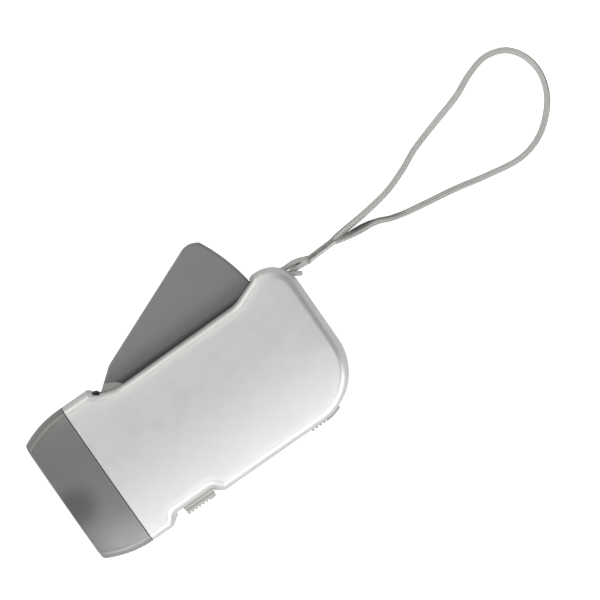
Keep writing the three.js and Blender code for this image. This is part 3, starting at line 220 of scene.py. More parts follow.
def braided_cord(name, line, width, thickness, twist, around=28, spread=lambda share: 0.0):
    """A closed tube along the line, width by thickness, turned about it by twist(share) degrees.

    spread(share) adds to the width where the braid is pressed flat, or takes from it where it is
    drawn together. A cord whose route comes down to the table is laid on it by its underside."""
    tangents = np.gradient(line, axis=0)
    tangents /= np.linalg.norm(tangents, axis=1)[:, None]
    step = np.linalg.norm(np.diff(line, axis=0), axis=1).mean()
    rings, marks = [], []
    for i, (place, ahead) in enumerate(zip(line.copy(), tangents)):
        side, rise = square_to(ahead)
        share = i / (len(line) - 1)
        turn = math.radians(twist(share))
        broad_half, narrow_half = (width + spread(share)) / 2, thickness / 2
        if line[:, 2].min() < LOW_ROUTE:
            half_height = math.hypot(broad_half * math.sin(turn), narrow_half * math.cos(turn))
            place = place + (0, 0, half_height + TABLE_GAP - min(place[2], LYING_HEIGHT))
            line[i] = place
        broad = side * math.cos(turn) + rise * math.sin(turn)
        narrow = rise * math.cos(turn) - side * math.sin(turn)
        along = i * step / BRAID_PITCH
        for k in range(around):
            angle = 2 * math.pi * k / around
            c, s = math.cos(angle), math.sin(angle)
            out = (abs(c) ** 3 + abs(s) ** 3) ** (-1 / 3)
            across = abs(c) * np.sign(c) * out * COLUMNS_A_SIDE
            stitch = abs(math.sin(math.pi * (along + 0.5 * math.floor(across))))
            strand = (stitch * abs(math.sin(math.pi * across))) ** 0.7
            lift = 1 - BRAID_RELIEF * 2 * (1 - strand)
            outline = broad * c * broad_half + narrow * s * narrow_half
            rings.append(place + outline * out * lift)
            marks.append((along, across))
    piece = new_piece(name, np.array(rings), tube_faces(len(line), around))
    layer = piece.data.uv_layers.new(name="braid")
    for loop in piece.data.loops:
        layer.data[loop.index].uv = marks[loop.vertex_index]
    return outward(piece)


print(f"{1 / BRAID_PITCH:.1f} stitches a millimetre, in {2 * COLUMNS_A_SIDE} columns")

# %% [markdown]
# A worn cord never lies evenly: it turns on its side in the bends, spreads where it is pressed and
# narrows where the tube grips it. Each cord gets a few soft peaks along its length for its twist
# and its width. The anchor loop's spare end, cut off short, is a third small cord.

# %% Cords of the strap
def wave(share, *peaks):
    """The sum of soft peaks, each given by its place, its width and its height."""
    return sum(height * math.exp(-((share - at) / width) ** 2) for at, width, height in peaks)


wrist_cord = braided_cord(
    "wrist_cord", wrist_line, 2.4, 1.3,
    lambda s: wave(s, (0.0, 0.08, 40), (0.3, 0.05, 25), (0.52, 0.07, 45), (0.8, 0.06, 40), (1.0, 0.03, 40)),
    spread=lambda s: wave(s, (0.945, 0.022, 0.9), (0.0, 0.007, -1.2), (1.0, 0.007, -1.2)),
)
anchor_cord = braided_cord("anchor_cord", anchor_line, 2.1, 1.2, lambda s: 15, around=20,
                           spread=lambda s: wave(s, (0.0, 0.05, -1.0), (1.0, 0.05, -1.0)))
stub_line, stub_length = smooth_route(STUB_ROUTE, CORD_STEP)
cut_end = braided_cord("anchor_cord_cut_end", stub_line, 1.8, 1.1, lambda s: -20, around=20)
print("cord faces:", len(wrist_cord.data.polygons), len(anchor_cord.data.polygons))
print(f"cut end {stub_length:.1f} mm long")

# %% [markdown]
# The crimped tube is a strip of tinplate rolled round the cord ends. It is drawn as rings of
# changing radius along its route: a rolled lip at each end, two shallow flats where the tool
# squeezed it, and a groove along its whole length where the edges of the strip meet.

# %% Ferrule
TUBE_RADIUS, TUBE_STEP, AROUND_TUBE = 1.3, 0.12, 72
LIP_RISE, LIP_SHARE = 0.14, 0.03
PINCH_DEPTH, PINCH_SHARE, PINCHED_AT = 0.13, 0.09, (0.3, 0.7)
GROOVE_DEPTH, GROOVE_SPREAD, GROOVE_ANGLE = 0.2, 0.1, math.radians(73)
ferrule_line, ferrule_length = smooth_route(FERRULE_ROUTE, TUBE_STEP)


def crimped_tube(name, line, radius):
    side, rise = square_to((line[-1] - line[0]) / np.linalg.norm(line[-1] - line[0]))
    rings = []
    for i, place in enumerate(line):
        share = i / (len(line) - 1)
        lip = wave(share, (0, LIP_SHARE, LIP_RISE), (1, LIP_SHARE, LIP_RISE))
        pinch = wave(share, *((at, PINCH_SHARE, PINCH_DEPTH) for at in PINCHED_AT))
        for k in range(AROUND_TUBE):
            angle = 2 * math.pi * k / AROUND_TUBE
            flat = 1 - pinch * abs(math.sin(angle)) ** 3
            from_groove = abs((angle - GROOVE_ANGLE + math.pi) % (2 * math.pi) - math.pi)
            groove = GROOVE_DEPTH * math.exp(-(from_groove / GROOVE_SPREAD) ** 4)
            reach = (radius - LIP_RISE + lip) * flat - groove
            rings.append(place + side * reach * math.cos(angle) + rise * reach * math.sin(angle))
    return outward(new_piece(name, np.array(rings), tube_faces(len(line), AROUND_TUBE)))


ferrule = crimped_tube("crimped_ferrule", ferrule_line, TUBE_RADIUS)
print(f"ferrule {ferrule_length:.1f} mm long")

# %% [markdown]
# The moulded pieces are cut from closed solids, as a toolmaker would: a form is drawn as a stack of
# rings, skinned over, and openings are taken away from it. Blender's manifold Boolean keeps each
# result closed. These helpers draw rings, slabs and turned forms, and join or cut them.

# %% Solids
def arc(centre, radius, start, end, count):
    """Points on an arc, in degrees."""
    angles = np.radians(np.linspace(start, end, count + 1))
    return [(centre[0] + radius * math.cos(a), centre[1] + radius * math.sin(a)) for a in angles]


def circle(centre, radius, count=48):
    return arc(centre, radius, 0, 360, count)[:-1]


def skin(name, rings):
    """A closed piece over rings with equal counts."""
    points = np.concatenate([np.asarray(ring, float) for ring in rings])
    return outward(new_piece(name, points, tube_faces(len(rings), len(rings[0]))))


def slab(outline, low, high, name="slab"):
    """An outline in plan between two heights."""
    return skin(name, [[(x, y, z) for x, y in outline] for z in (low, high)])


def block(x_span, y_span, z_span):
    (x0, x1), (y0, y1) = x_span, y_span
    return slab([(x0, y0), (x1, y0), (x1, y1), (x0, y1)], *z_span, name="block")


def turned_form(name, profile, foot, forward=-1, count=64):
    """A form turned about an axis along X; the profile gives radius and distance from the foot."""
    rings = []
    for radius, run in profile:
        rings.append([
            (foot[0] + forward * run, foot[1] + radius * c, foot[2] + radius * s)
            for c, s in circle((0, 0), 1, count)
        ])
    return skin(name, rings)


def worked(piece, joined=(), removed=(), kept=()):
    """Joins, cuts and trims a piece with other closed pieces, which are used up."""
    for others, how in ((joined, "UNION"), (removed, "DIFFERENCE"), (kept, "INTERSECT")):
        for other in others:
            step = piece.modifiers.new(how.lower(), "BOOLEAN")
            step.operation, step.solver, step.object = how, "MANIFOLD", other
    result = bpy.data.meshes.new_from_object(piece.evaluated_get(bpy.context.evaluated_depsgraph_get()))
    piece.modifiers.clear()
    old, piece.data = piece.data, result
    result.name = piece.name
    bpy.data.meshes.remove(old)
    for other in {*joined, *removed, *kept}:
        bpy.data.objects.remove(other)
    return piece


def both_sides(levels):
    """Levels (inset or radius, height), from the far side of the middle to the near side."""
    return [(first, -height) for first, height in levels[::-1]] + levels


def eased(piece, degrees=32):
    """Smooth faces, with sharp edges where two meet at more than this angle."""
    piece.data.shade_smooth()
    piece.data.set_sharp_from_angle(angle=math.radians(degrees))
    return piece


print("a circle of 4 points:", np.round(circle((0, 0), 1, 4), 2).tolist())

# %% [markdown]
# A moulded outline is a polygon with rounded corners. Drawing it in by an inset moves the straight
# sides inwards and tightens the outer corners, which gives every ring of the shell the same count
# of points, so that the rings can be skinned over.

# %% Rounded outline
def rounded_outline(corners, inset=0.0):
    """Corners are (x, y, radius, steps), in turning order."""
    points = np.array([c[:2] for c in corners], float)
    ahead = np.roll(points, -1, axis=0) - points
    ahead /= np.linalg.norm(ahead, axis=1)[:, None]
    inward = np.stack([-ahead[:, 1], ahead[:, 0]], axis=1)
    starts = points + inward * inset
    outline = []
    for i, (_, _, radius, steps) in enumerate(corners):
        a, b = i - 1, i
        turn = ahead[a][0] * ahead[b][1] - ahead[a][1] * ahead[b][0]
        gap = starts[b] - starts[a]
        corner = starts[a] + ahead[a] * (gap[0] * ahead[b][1] - gap[1] * ahead[b][0]) / turn
        if radius == 0:
            outline.append(tuple(corner))
            continue
        sweep = math.atan2(turn, float(ahead[a] @ ahead[b]))
        side = math.copysign(1, sweep)
        round_radius = max(radius - side * inset, radius / 8)
        begin = corner - ahead[a] * round_radius * math.tan(abs(sweep) / 2)
        centre = begin + inward[a] * side * round_radius
        for k in range(steps + 1):
            t = sweep * k / steps
            dx, dy = begin - centre
            outline.append((centre[0] + dx * math.cos(t) - dy * math.sin(t),
                            centre[1] + dx * math.sin(t) + dy * math.cos(t)))
    return outline


square = [(0, 0, 2, 4), (10, 0, 2, 4), (10, 10, 2, 4), (0, 10, 2, 4)]
print("points round a square with rounded corners:", len(rounded_outline(square)))

# %% [markdown]
# Seen from the switch edge, the wall of the shell isn't upright: it bulges a little, so that both
# halves leave their mould. It then turns over a soft edge into a face with a shallow crown. The
# section is given once, from the parting plane outwards, as inset, height and how far the ring has
# drawn in towards the spine of the crown.

# %% Section of the shells
THICKNESS, WIDTH = 23.0, 51.7
MIDDLE_Z = THICKNESS / 2
WALL_BULGE, WALL_HEIGHT = 1.0, 8.3
EDGE_INSET, CROWN_RISE = 3.7, 1.3
ROUND_STEPS, CROWN_STEPS, WALL_STEPS = 9, 14, 5
CROWN_SHARE = 0.96
SLOPE_AT_WALL, SLOPE_AT_CROWN = 58.0, 7.0


def section(wall=0.0):
    levels = []
    for k in range(WALL_STEPS + 1):
        t = k / WALL_STEPS
        levels.append((wall + WALL_BULGE * t**2, WALL_HEIGHT * t, 0.0))
    slopes = np.radians(np.linspace(SLOPE_AT_WALL, SLOPE_AT_CROWN, ROUND_STEPS + 1))
    across = np.cumsum([0] + [math.cos((a + b) / 2) for a, b in zip(slopes, slopes[1:])])
    upward = np.cumsum([0] + [math.sin((a + b) / 2) for a, b in zip(slopes, slopes[1:])])
    room_across = EDGE_INSET - WALL_BULGE
    room_up = MIDDLE_Z - CROWN_RISE - WALL_HEIGHT
    for x, z in zip(across[1:] / across[-1], upward[1:] / upward[-1]):
        levels.append((wall + WALL_BULGE + room_across * x, WALL_HEIGHT + room_up * z - wall * z, 0.0))
    inset, rise, _ = levels[-1]
    for k in range(1, CROWN_STEPS + 1):
        t = k / CROWN_STEPS
        levels.append((inset, rise + CROWN_RISE * (1 - (1 - t) ** 2), CROWN_SHARE * t))
    below = [(i, -r, s) for i, r, s in levels[:0:-1]]
    return below + levels


print("section levels:", len(section()))

# %% [markdown]
# The finger scoop is a dip in the switch edge. It is part of the outline, deeper towards the faces
# than at the parting plane, so the soft edge runs down into it and out again in one line.

# %% Outline of the casing
TAIL_X, BUMP_X, SEAT_Y = 85.3, 74.1, 48.0
SCOOP_FLOOR, SCOOP_RIM = 2.0, 2.9
CROWN_END_X = TAIL_X - 19.3
HEAD_SLOPE_X, HEAD_DROP = 20.0, 0.3


def casing_corners(rise):
    dip = SCOOP_FLOOR + (SCOOP_RIM - SCOOP_FLOOR) * min(1.0, abs(rise) / WALL_HEIGHT) ** 2
    return [
        (-4, 0, 0, 1),
        (7.9, 0, 3.0, 8), (10.6, dip, 1.4, 8), (24.9, dip, 1.6, 8), (27.9, 0, 2.0, 8),
        (TAIL_X, 0, 19.2, 36),
        (TAIL_X, WIDTH, 9.8, 24),
        (BUMP_X, WIDTH, 1.2, 6),
        (BUMP_X - 10, SEAT_Y, 12, 14),
        (17.8, SEAT_Y - 0.3, 12, 8),
        (12.9, SEAT_Y + 1.3, 3, 6),
        (9.7, WIDTH, 0.9, 6),
        (-4, WIDTH, 0, 1),
    ]


def crown_drop(x, y):
    """How far the face lies below its highest line: one even crown, whatever the edge does."""
    across = (y - MIDDLE_Y) / (MIDDLE_Y - EDGE_INSET)
    along = max(0.0, x - CROWN_END_X) / (TAIL_X - EDGE_INSET - CROWN_END_X)
    ahead = max(0.0, HEAD_SLOPE_X - max(x, 0.0)) / HEAD_SLOPE_X
    return CROWN_RISE * min(across**2 + 0.4 * along**2, 1.1) + HEAD_DROP * ahead**2


def casing_form(wall=0.0, name="casing"):
    top = MIDDLE_Z - wall
    foot = top - CROWN_RISE
    brink = rounded_outline(casing_corners(foot), EDGE_INSET + wall)
    rings = []
    for inset, rise, share in section(wall):
        ring = []
        for (x, y), (brink_x, brink_y) in zip(rounded_outline(casing_corners(rise), inset), brink):
            spine_x = min(x, CROWN_END_X)
            x, y = x + (spine_x - x) * share, y + (MIDDLE_Y - y) * share
            height = abs(rise)
            if share > 0:
                height = top - crown_drop(x, y)
            elif height > WALL_HEIGHT:
                climbed = (height - WALL_HEIGHT) / (foot - WALL_HEIGHT)
                height = WALL_HEIGHT + (top - crown_drop(brink_x, brink_y) - WALL_HEIGHT) * climbed
            ring.append((x, y, MIDDLE_Z + math.copysign(height, rise)))
        rings.append(ring)
    return skin(name, rings)


print("points round the casing:", len(rounded_outline(casing_corners(0))))

# %% [markdown]
# Two halves meet at the parting plane, half way up. Posts inside them carry the screws, the gear
# axles, the lever and the strap. Their places are the CAD model's, and those of the axles are
# measured from its pieces.

# %% Places and sizes of the openings and posts
PIVOT = (14.5, 43.0)
LEVER_REACH = 58.3
SLOT_DEPTH, SLOT_RIM, SLOT_FRONT, HUB_ROOM = 14.4, 0.45, 3.2, 6.0
SEAM, BEYOND = 0.2, 4.0
OUTSIDE = (-BEYOND, THICKNESS + BEYOND)
SCREWS = [(5, WIDTH * 0.89), (5, WIDTH * 0.125), (28.5, 5),
          (TAIL_X - 6.3, WIDTH * 0.638), (TAIL_X - 5.8, WIDTH * 0.27)]
AXLES = [tuple(on_drawing(np.mean(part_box(node), axis=0))[:2])
         for node in ("first_axle", "second_axle", "rotor_shaft")]
STRAP_POST = (TAIL_X - 4.8, WIDTH - 6.7)
LIP_NOTCH = [(10.5, 49.55), (12.5, 48.15), (12.85, 48.8), (12.0, 49.8), (11.2, 50.0)]
KNOB_X, LATCH_X, LATCH_LOW = 13.7, 61.51, -6
CORNER_Y = 12.9
BOSS_RADIUS, STRAP_POST_RADIUS, PIN_POST_RADIUS = 2.4, 1.3, 3.0
SCREW_BORE, AXLE_BORE, PIN_BORE, BORE_FLOOR = 1.15, 1.15, 1.65, 2.15
HEAD_ROOM, HEAD_FLOOR = 2.12, 3.25
CASING_WALL, POST_ROOT, POST_INSET = 1.8, 1.1, 0.7
AXLE_POSTS_END, PIN_POSTS_END = (5.9, 16.0), (4.3, 18.7)
print("axles at", np.round(AXLES, 1).tolist())

# %% [markdown]
# The openings are the same as in the CAD model: the slot that the lever swings through, the pocket
# and track of the lamp switch, the track of the lever latch, the hole for the strap and the five
# screw holes in the back. Each is drawn as the body of a tool that is taken away from the shell.

# %% Openings
SWITCH_POCKET = (KNOB_X, (-2.8, 11.3), (-BEYOND, 3.4), 13.6)
STEM_WAY = (KNOB_X, (1.1, 6.2), (0, 7.2), 3.6)
HOOK_WAY = (LATCH_X, (-0.1, 6.2), (-BEYOND, 3.6), 4.2)
STRAP_HOLE = (STRAP_POST[0], (0, 8.8), (STRAP_POST[1] - 2, STRAP_POST[1] + 4), 4)
TRACK_DEPTH, TRACK_WALL, TRACK_SPAN = 8.6, 1.1, (-0.3, 15)


def about_middle(depth):
    """The two heights of something this deep that lies evenly about the parting plane."""
    return (MIDDLE_Z - depth / 2, MIDDLE_Z + depth / 2)


def room(start, x_span, y_span, depth):
    """A block this deep about the parting plane, with its X measured from start."""
    return block([start + x for x in x_span], y_span, about_middle(depth))


def lever_slot():
    depth = about_middle(SLOT_DEPTH)
    front_x, open_y = PIVOT[0] - SLOT_FRONT, WIDTH + 2 * BEYOND
    rim = arc(PIVOT, LEVER_REACH + SLOT_RIM, -2, 14, 16)
    fan = slab([(front_x, PIVOT[1]), *rim, (front_x, open_y)], *depth)
    mouth = block((10.7, 13), (48.3, open_y), depth)
    return worked(fan, joined=[slab(circle(PIVOT, HUB_ROOM), *depth), mouth])


def latch_track():
    """A groove of even depth that follows the edge of the casing round its corner."""
    outer = slab(rounded_outline(casing_corners(0), -BEYOND), *about_middle(TRACK_DEPTH))
    inner = slab(rounded_outline(casing_corners(0), TRACK_WALL), *OUTSIDE)
    span = room(LATCH_X, TRACK_SPAN, (LATCH_LOW, CORNER_Y), TRACK_DEPTH)
    return worked(outer, removed=[inner], kept=[span])


def casing_openings(front):
    rooms = [room(*sizes) for sizes in (SWITCH_POCKET, STEM_WAY, HOOK_WAY, STRAP_HOLE)]
    mouth = block((-9, SEAM / 2), (-60, 99), OUTSIDE)
    openings = [lever_slot(), latch_track(), *rooms, mouth]
    if front:
        openings.append(slab(LIP_NOTCH, MIDDLE_Z, THICKNESS + BEYOND))
    else:
        openings += [slab(circle(at, HEAD_ROOM), -BEYOND, HEAD_FLOOR) for at in SCREWS]
        openings += [slab(circle(at, SCREW_BORE), -BEYOND, MIDDLE_Z) for at in SCREWS]
    return openings


print(f"lever slot {SLOT_DEPTH} mm deep, seam {SEAM} mm")

# %% [markdown]
# A half is the whole form with the same form drawn in by the wall taken out of it. The posts are
# joined on, and then the openings, the bores and everything past the parting plane go.

# %% Casing halves
SCOOP_BACKING = [(6.3, -4, 0, 1), (29.7, -4, 0, 1), (28, 5.5, 3, 4), (8, 5.5, 3, 4)]


def casing_hollow():
    """The room inside, less the backing that stands behind the finger scoop."""
    backing = rounded_outline(SCOOP_BACKING)
    return worked(casing_form(CASING_WALL, "hollow"), removed=[slab(backing, 0, THICKNESS)])


def casing_posts(front):
    """Posts from the wall of a half inwards, clipped so that none comes through its outside."""
    def reach(low_end, high_end):
        return (high_end, THICKNESS - POST_ROOT) if front else (POST_ROOT, low_end)

    whole = reach(MIDDLE_Z, MIDDLE_Z)
    posts = [slab(circle(at, BOSS_RADIUS, 28), *whole) for at in SCREWS]
    posts += [slab(circle(STRAP_POST, STRAP_POST_RADIUS, 24), *whole)]
    posts += [slab(circle(at, BOSS_RADIUS, 28), *reach(*AXLE_POSTS_END)) for at in AXLES]
    posts += [slab(circle(PIVOT, PIN_POST_RADIUS, 28), *reach(*PIN_POSTS_END))]
    return [worked(post, kept=[casing_form(POST_INSET, "post_limit")]) for post in posts]


def casing_half(front):
    shell = casing_form(name="front_casing" if front else "back_casing")
    side = (MIDDLE_Z + SEAM / 2, OUTSIDE[1]) if front else (OUTSIDE[0], MIDDLE_Z - SEAM / 2)
    bored = (BORE_FLOOR, THICKNESS - BORE_FLOOR)
    bores = [slab(circle(at, AXLE_BORE, 20), *bored) for at in AXLES]
    bores += [slab(circle(PIVOT, PIN_BORE, 24), *bored)]
    worked(shell, removed=[casing_hollow()])
    worked(shell, joined=casing_posts(front))
    worked(shell, removed=casing_openings(front) + bores, kept=[block((-60, 120), (-60, 99), side)])
    return eased(shell)


front_casing, back_casing = casing_half(True), casing_half(False)
print("casing faces:", len(front_casing.data.polygons), len(back_casing.data.polygons))

# %% [markdown]
# Under the lip at the head end sits a small black block, painted shade for the shadowed slot there.
# The lip has a narrow notch over it, so from above it shows as a short black line.

# %% Black block of painted shade under the lip
# A black piece that stands in for the shadow under the lip: painted shade.
lever_stop = slab([(10.2, 49.2), (12.1, 48.45), (12.6, 48.75), (12.1, 49.6), (10.9, 50.1)],
                  5.0, 18.0, name="lever_stop")
print("lever stop:", np.round(lever_stop.dimensions / MILLIMETRE, 1)[:])

# %% [markdown]
# The head is a smoked sleeve. Its section is the casing's own, drawn in along two arcs towards the
# lens and flattened a little, so head and casing run on into each other across a dark seam line.
# A ledge inside holds the lens plate, and a spigot fits the mouth of the casing.

# %% Head sleeve
HEAD_LENGTH, NOSE_RADIUS, TOP_ARC_SETBACK = 16.5, 34.0, 1.5
NOSE_DROP = 0.9
BEZEL_X = -HEAD_LENGTH
HEAD_WALL, LEDGE_WALL, LEDGE = 1.9, 2.6, 0.8
LENS_BACK_X = BEZEL_X + 1.9
SPIGOT_WALL, SPIGOT_INSIDE, SPIGOT_RUN = 2.1, 3.2, 1.7


def drawn_in(x, start):
    """How far an arc that begins at start has come inwards at x, on its way to the lens."""
    return NOSE_RADIUS - math.sqrt(NOSE_RADIUS**2 - max(0.0, start - x) ** 2)


def head_form(wall, start_x, end_x, stations=2, rim=0.0, name="head"):
    """The head's section between two places, with its front corner rounded by rim."""
    places = [(x, 0.0) for x in np.linspace(start_x + rim, end_x, stations + 1)]
    if rim:
        turn = [math.radians(a) for a in (5, 25, 45, 67, 90)]
        places = [(start_x + rim * (1 - math.sin(a)), rim * (1 - math.cos(a))) for a in turn[::-1]] + places
        places = sorted(places, key=lambda p: p[0])
    rings = []
    for x, extra in places:
        low, high = drawn_in(x, 0), WIDTH - drawn_in(x, -TOP_ARC_SETBACK)
        drop = HEAD_DROP + NOSE_DROP * (max(0.0, -x) / HEAD_LENGTH) ** 1.6
        ring = []
        for edge, inward, levels in ((high, -1, section(wall)), (low, 1, section(wall)[::-1])):
            for inset, rise, share in levels:
                y = edge + inward * (inset + extra)
                squeeze = 1 - extra / MIDDLE_Z
                lower = drop * min(1.0, abs(rise) / WALL_HEIGHT) ** 3
                z = MIDDLE_Z + (rise - math.copysign(lower, rise)) * squeeze
                ring.append((x, y + (MIDDLE_Y - y) * share, z))
        rings.append(ring)
    return skin(name, rings)


head_sleeve = worked(
    head_form(0, BEZEL_X, -0.18, 22, rim=0.5, name="head_sleeve"),
    removed=[
        head_form(LEDGE_WALL, BEZEL_X - 0.4, 4),
        head_form(HEAD_WALL, BEZEL_X - 0.4, LENS_BACK_X),
        head_form(HEAD_WALL, LENS_BACK_X + LEDGE, 4, 8),
    ],
)
collar = worked(head_form(0.22, -SPIGOT_RUN, -SEAM / 2, 4, name="collar"),
                removed=[head_form(SPIGOT_INSIDE, -2.1, 4)])
spigot = worked(head_form(SPIGOT_WALL, -SPIGOT_RUN, SPIGOT_RUN, 4, name="spigot"),
                removed=[head_form(SPIGOT_INSIDE, -2.1, 4)])
worked(head_sleeve, joined=[collar, spigot])
eased(head_sleeve, 24)
print("head faces:", len(head_sleeve.data.polygons))

# %% [markdown]
# Behind the clear plate with its two low domes sit two turned mirror cups, each round the tip of a
# lamp. A lamp is a clear bullet of epoxy with a flange; the cup and the bent leads that carry its
# chip are moulded inside it and show through.

# %% Lens, mirror cups and lamps
LAMP_YS = (MIDDLE_Y - WIDTH * 0.2245, MIDDLE_Y + WIDTH * 0.2245)
MIRROR_X = LENS_BACK_X + 1.1
CUP_X, CUP_DEPTH, CUP_MOUTH, CUP_THROAT = MIRROR_X + 0.4, 8.8, 7.45, 3.1
CUP_SKIN, CUP_CURVE = 0.8, 1.6
LENS_WALL, LENS_PROUD, DOME_RADIUS, DOME_RISE = 2.05, 0.4, 9.6, 0.65
LAMP_FOOT_X = 2.95
BULLET_RADIUS, BULLET_STRAIGHT, FLANGE_RADIUS, FLANGE_RUN = 2.5, 6.1, 2.9, 1.0
LEAD_SPREAD, LEAD_WIDTH = 1.27, 0.5
POLE = 1e-3


def domed_lens():
    plate = head_form(LENS_WALL, BEZEL_X - LENS_PROUD, LENS_BACK_X - 0.15, 4, rim=0.3,
                      name="clear_lens_plate")
    ball = (DOME_RADIUS**2 + DOME_RISE**2) / (2 * DOME_RISE)
    rim = math.asin(DOME_RADIUS / ball)
    profile = [(POLE, 0.0), (DOME_RADIUS, 0.0)]
    profile += [(max(POLE, ball * math.sin(a)), ball * (math.cos(a) - math.cos(rim)) + LENS_PROUD)
                for a in np.linspace(rim, 0, 14)]
    domes = [worked(turned_form("dome", profile, (BEZEL_X, y, MIDDLE_Z)),
                    kept=[head_form(LENS_WALL, BEZEL_X - 4, 0, 8)]) for y in LAMP_YS]
    return eased(worked(plate, joined=domes), 40)


def bowl_profile(extra):
    """A cup's radius and distance from its mouth, narrowing towards the throat."""
    narrowing = CUP_THROAT - CUP_MOUTH
    return [(CUP_MOUTH + narrowing * share**CUP_CURVE + extra, CUP_DEPTH * share)
            for share in np.linspace(0, 1, 16)]


def mirror_cups():
    plate = head_form(2.2, MIRROR_X, MIRROR_X + CUP_SKIN, name="mirror_cups")
    bore = [(CUP_MOUTH, -3.0)] + bowl_profile(0) + [(CUP_THROAT, CUP_DEPTH + 3)]
    outside = [turned_form("cup", bowl_profile(CUP_SKIN), (CUP_X, y, MIDDLE_Z), 1) for y in LAMP_YS]
    inside = [turned_form("bowl", bore, (CUP_X, y, MIDDLE_Z), 1) for y in LAMP_YS]
    return eased(worked(plate, joined=outside, removed=inside))


def lamp_bullet(name, y):
    profile = [(POLE, 0.0), (FLANGE_RADIUS, 0.0), (FLANGE_RADIUS, FLANGE_RUN), (BULLET_RADIUS, FLANGE_RUN)]
    profile += [(max(POLE, BULLET_RADIUS * math.cos(a)), BULLET_STRAIGHT + BULLET_RADIUS * math.sin(a))
                for a in np.linspace(0, math.pi / 2, 14)]
    return eased(turned_form(name, profile, (LAMP_FOOT_X, y, MIDDLE_Z)), 40)


def lamp_leads(name, y):
    """The anvil with its chip cup and the thinner post beside it."""
    x, flat = LAMP_FOOT_X, about_middle(LEAD_WIDTH)
    anvil = block((x - 4.2, x - 1.6), (y - 1.2, y + 0.5), flat)
    legs = [block((x - 2.0, x - 0.1), (y + at - LEAD_WIDTH / 2, y + at + LEAD_WIDTH / 2), flat)
            for at in (-LEAD_SPREAD, LEAD_SPREAD)]
    post = block((x - 4.3, x - 1.6), (y + 0.95, y + 1.45), flat)
    cup_profile = [(0.35, 4.0), (0.95, 5.1), (0.75, 5.1), (0.3, 4.45)]
    cup = turned_form("chip_cup", cup_profile, (x, y - 0.3, MIDDLE_Z))
    piece = worked(anvil, joined=[*legs, post, cup])
    piece.name = piece.data.name = name
    return eased(piece)


clear_lens = domed_lens()
cups = mirror_cups()
bullets = [lamp_bullet(f"lamp_bullet_{which}", y) for which, y in zip(("lower", "upper"), LAMP_YS)]
leads = [lamp_leads(f"lamp_leads_{which}", y) for which, y in zip(("lower", "upper"), LAMP_YS)]
print("lamps at Y", [round(y, 1) for y in LAMP_YS])

# %% [markdown]
# Some shapes are already right in the CAD model, such as true involute teeth. A copy of the node
# gives them, once its loose triangles are merged into closed faces.

# %% Copy of a CAD node
def cad_copy(node, name):
    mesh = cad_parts[node].data.copy()
    mesh.name = name
    work = bmesh.new()
    work.from_mesh(mesh)
    bmesh.ops.remove_doubles(work, verts=work.verts, dist=1e-7)
    work.to_mesh(mesh)
    work.free()
    for extra in list(mesh.attributes):
        if extra.name == "custom_normal":
            mesh.attributes.remove(extra)
    piece = bpy.data.objects.new(name, mesh)
    bpy.context.collection.objects.link(piece)
    return piece


sector_source = cad_copy("squeeze_lever", "toothed_sector")
print("merged points of the CAD lever:", len(sector_source.data.vertices))

# %% [markdown]
# The lever is a channel: a long roof, an end wall that follows a circle about the pin, and two side
# plates. It is drawn closed, with the pin at zero, and turned open about it.

# %% Channel of the lever
OPEN_ANGLE, FACE_RISE, LEVER_HALF = 22.8, 8.0, 6.5
LEVER_EDGE, LEVER_NOSE, SKIRT = 0.9, (0.5, 5.5), 2.5
LEVER_WALL, PLATES_APART = 1.8, 5.1
HUB_RADIUS, HUB_FACE, HUB_ROUND = 7.3, 6.6, 0.35
ROOF_START_X, ROOF_TURN = 9.3, 9
TIP_RADIUS, TIP_MIDDLE_X = 5.85, 52.7
HOLLOW_RISE, HOLLOW_BACK_X = 4.3, -11
TOOTH_RADII, LUG_RADII, LUG_ANGLES = (40.5, 45.5), (56.5, 60.5), (-19.8, -16.6)
WINDOW_RADII, WINDOW_ANGLE, WINDOW_HALF = (54.7, 60.1), -17.4, 1.65


def polar(radius, degrees):
    return (radius * math.cos(math.radians(degrees)), radius * math.sin(math.radians(degrees)))


def lever_corners():
    """The closed lever seen along its pin: roof, round hub, long lower edge, curved end wall."""
    hub = math.hypot(*LEVER_NOSE)
    nose = math.degrees(math.atan2(LEVER_NOSE[1], LEVER_NOSE[0]))
    hub_end = 360 + math.degrees(math.asin(SKIRT / hub)) - OPEN_ANGLE
    skirt = math.degrees(math.asin(SKIRT / LEVER_REACH)) - OPEN_ANGLE
    corners = [(ROOF_START_X, FACE_RISE, ROOF_TURN, 10), (*LEVER_NOSE, 0, 1)]
    corners += [(*polar(hub, a), 0, 1) for a in np.linspace(nose, hub_end, 40)[1:]]
    corners += [(*polar(LEVER_REACH, a), 0, 1) for a in np.linspace(skirt, 4.6, 26)]
    tip = arc((TIP_MIDDLE_X, FACE_RISE - TIP_RADIUS), TIP_RADIUS, 31, 90, 16)
    return corners + [(x, y, 0, 1) for x, y in tip]


def opened(points):
    """Points about the pin, with the lever closed, as drawing points with the lever open."""
    c, s = math.cos(math.radians(OPEN_ANGLE)), math.sin(math.radians(OPEN_ANGLE))
    return [(PIVOT[0] + x * c - y * s, PIVOT[1] + x * s + y * c, z) for x, y, z in points]


def lever_slab(outline, low, high, name="lever_slab"):
    return skin(name, [opened([(x, y, MIDDLE_Z + z) for x, y in outline]) for z in (low, high)])


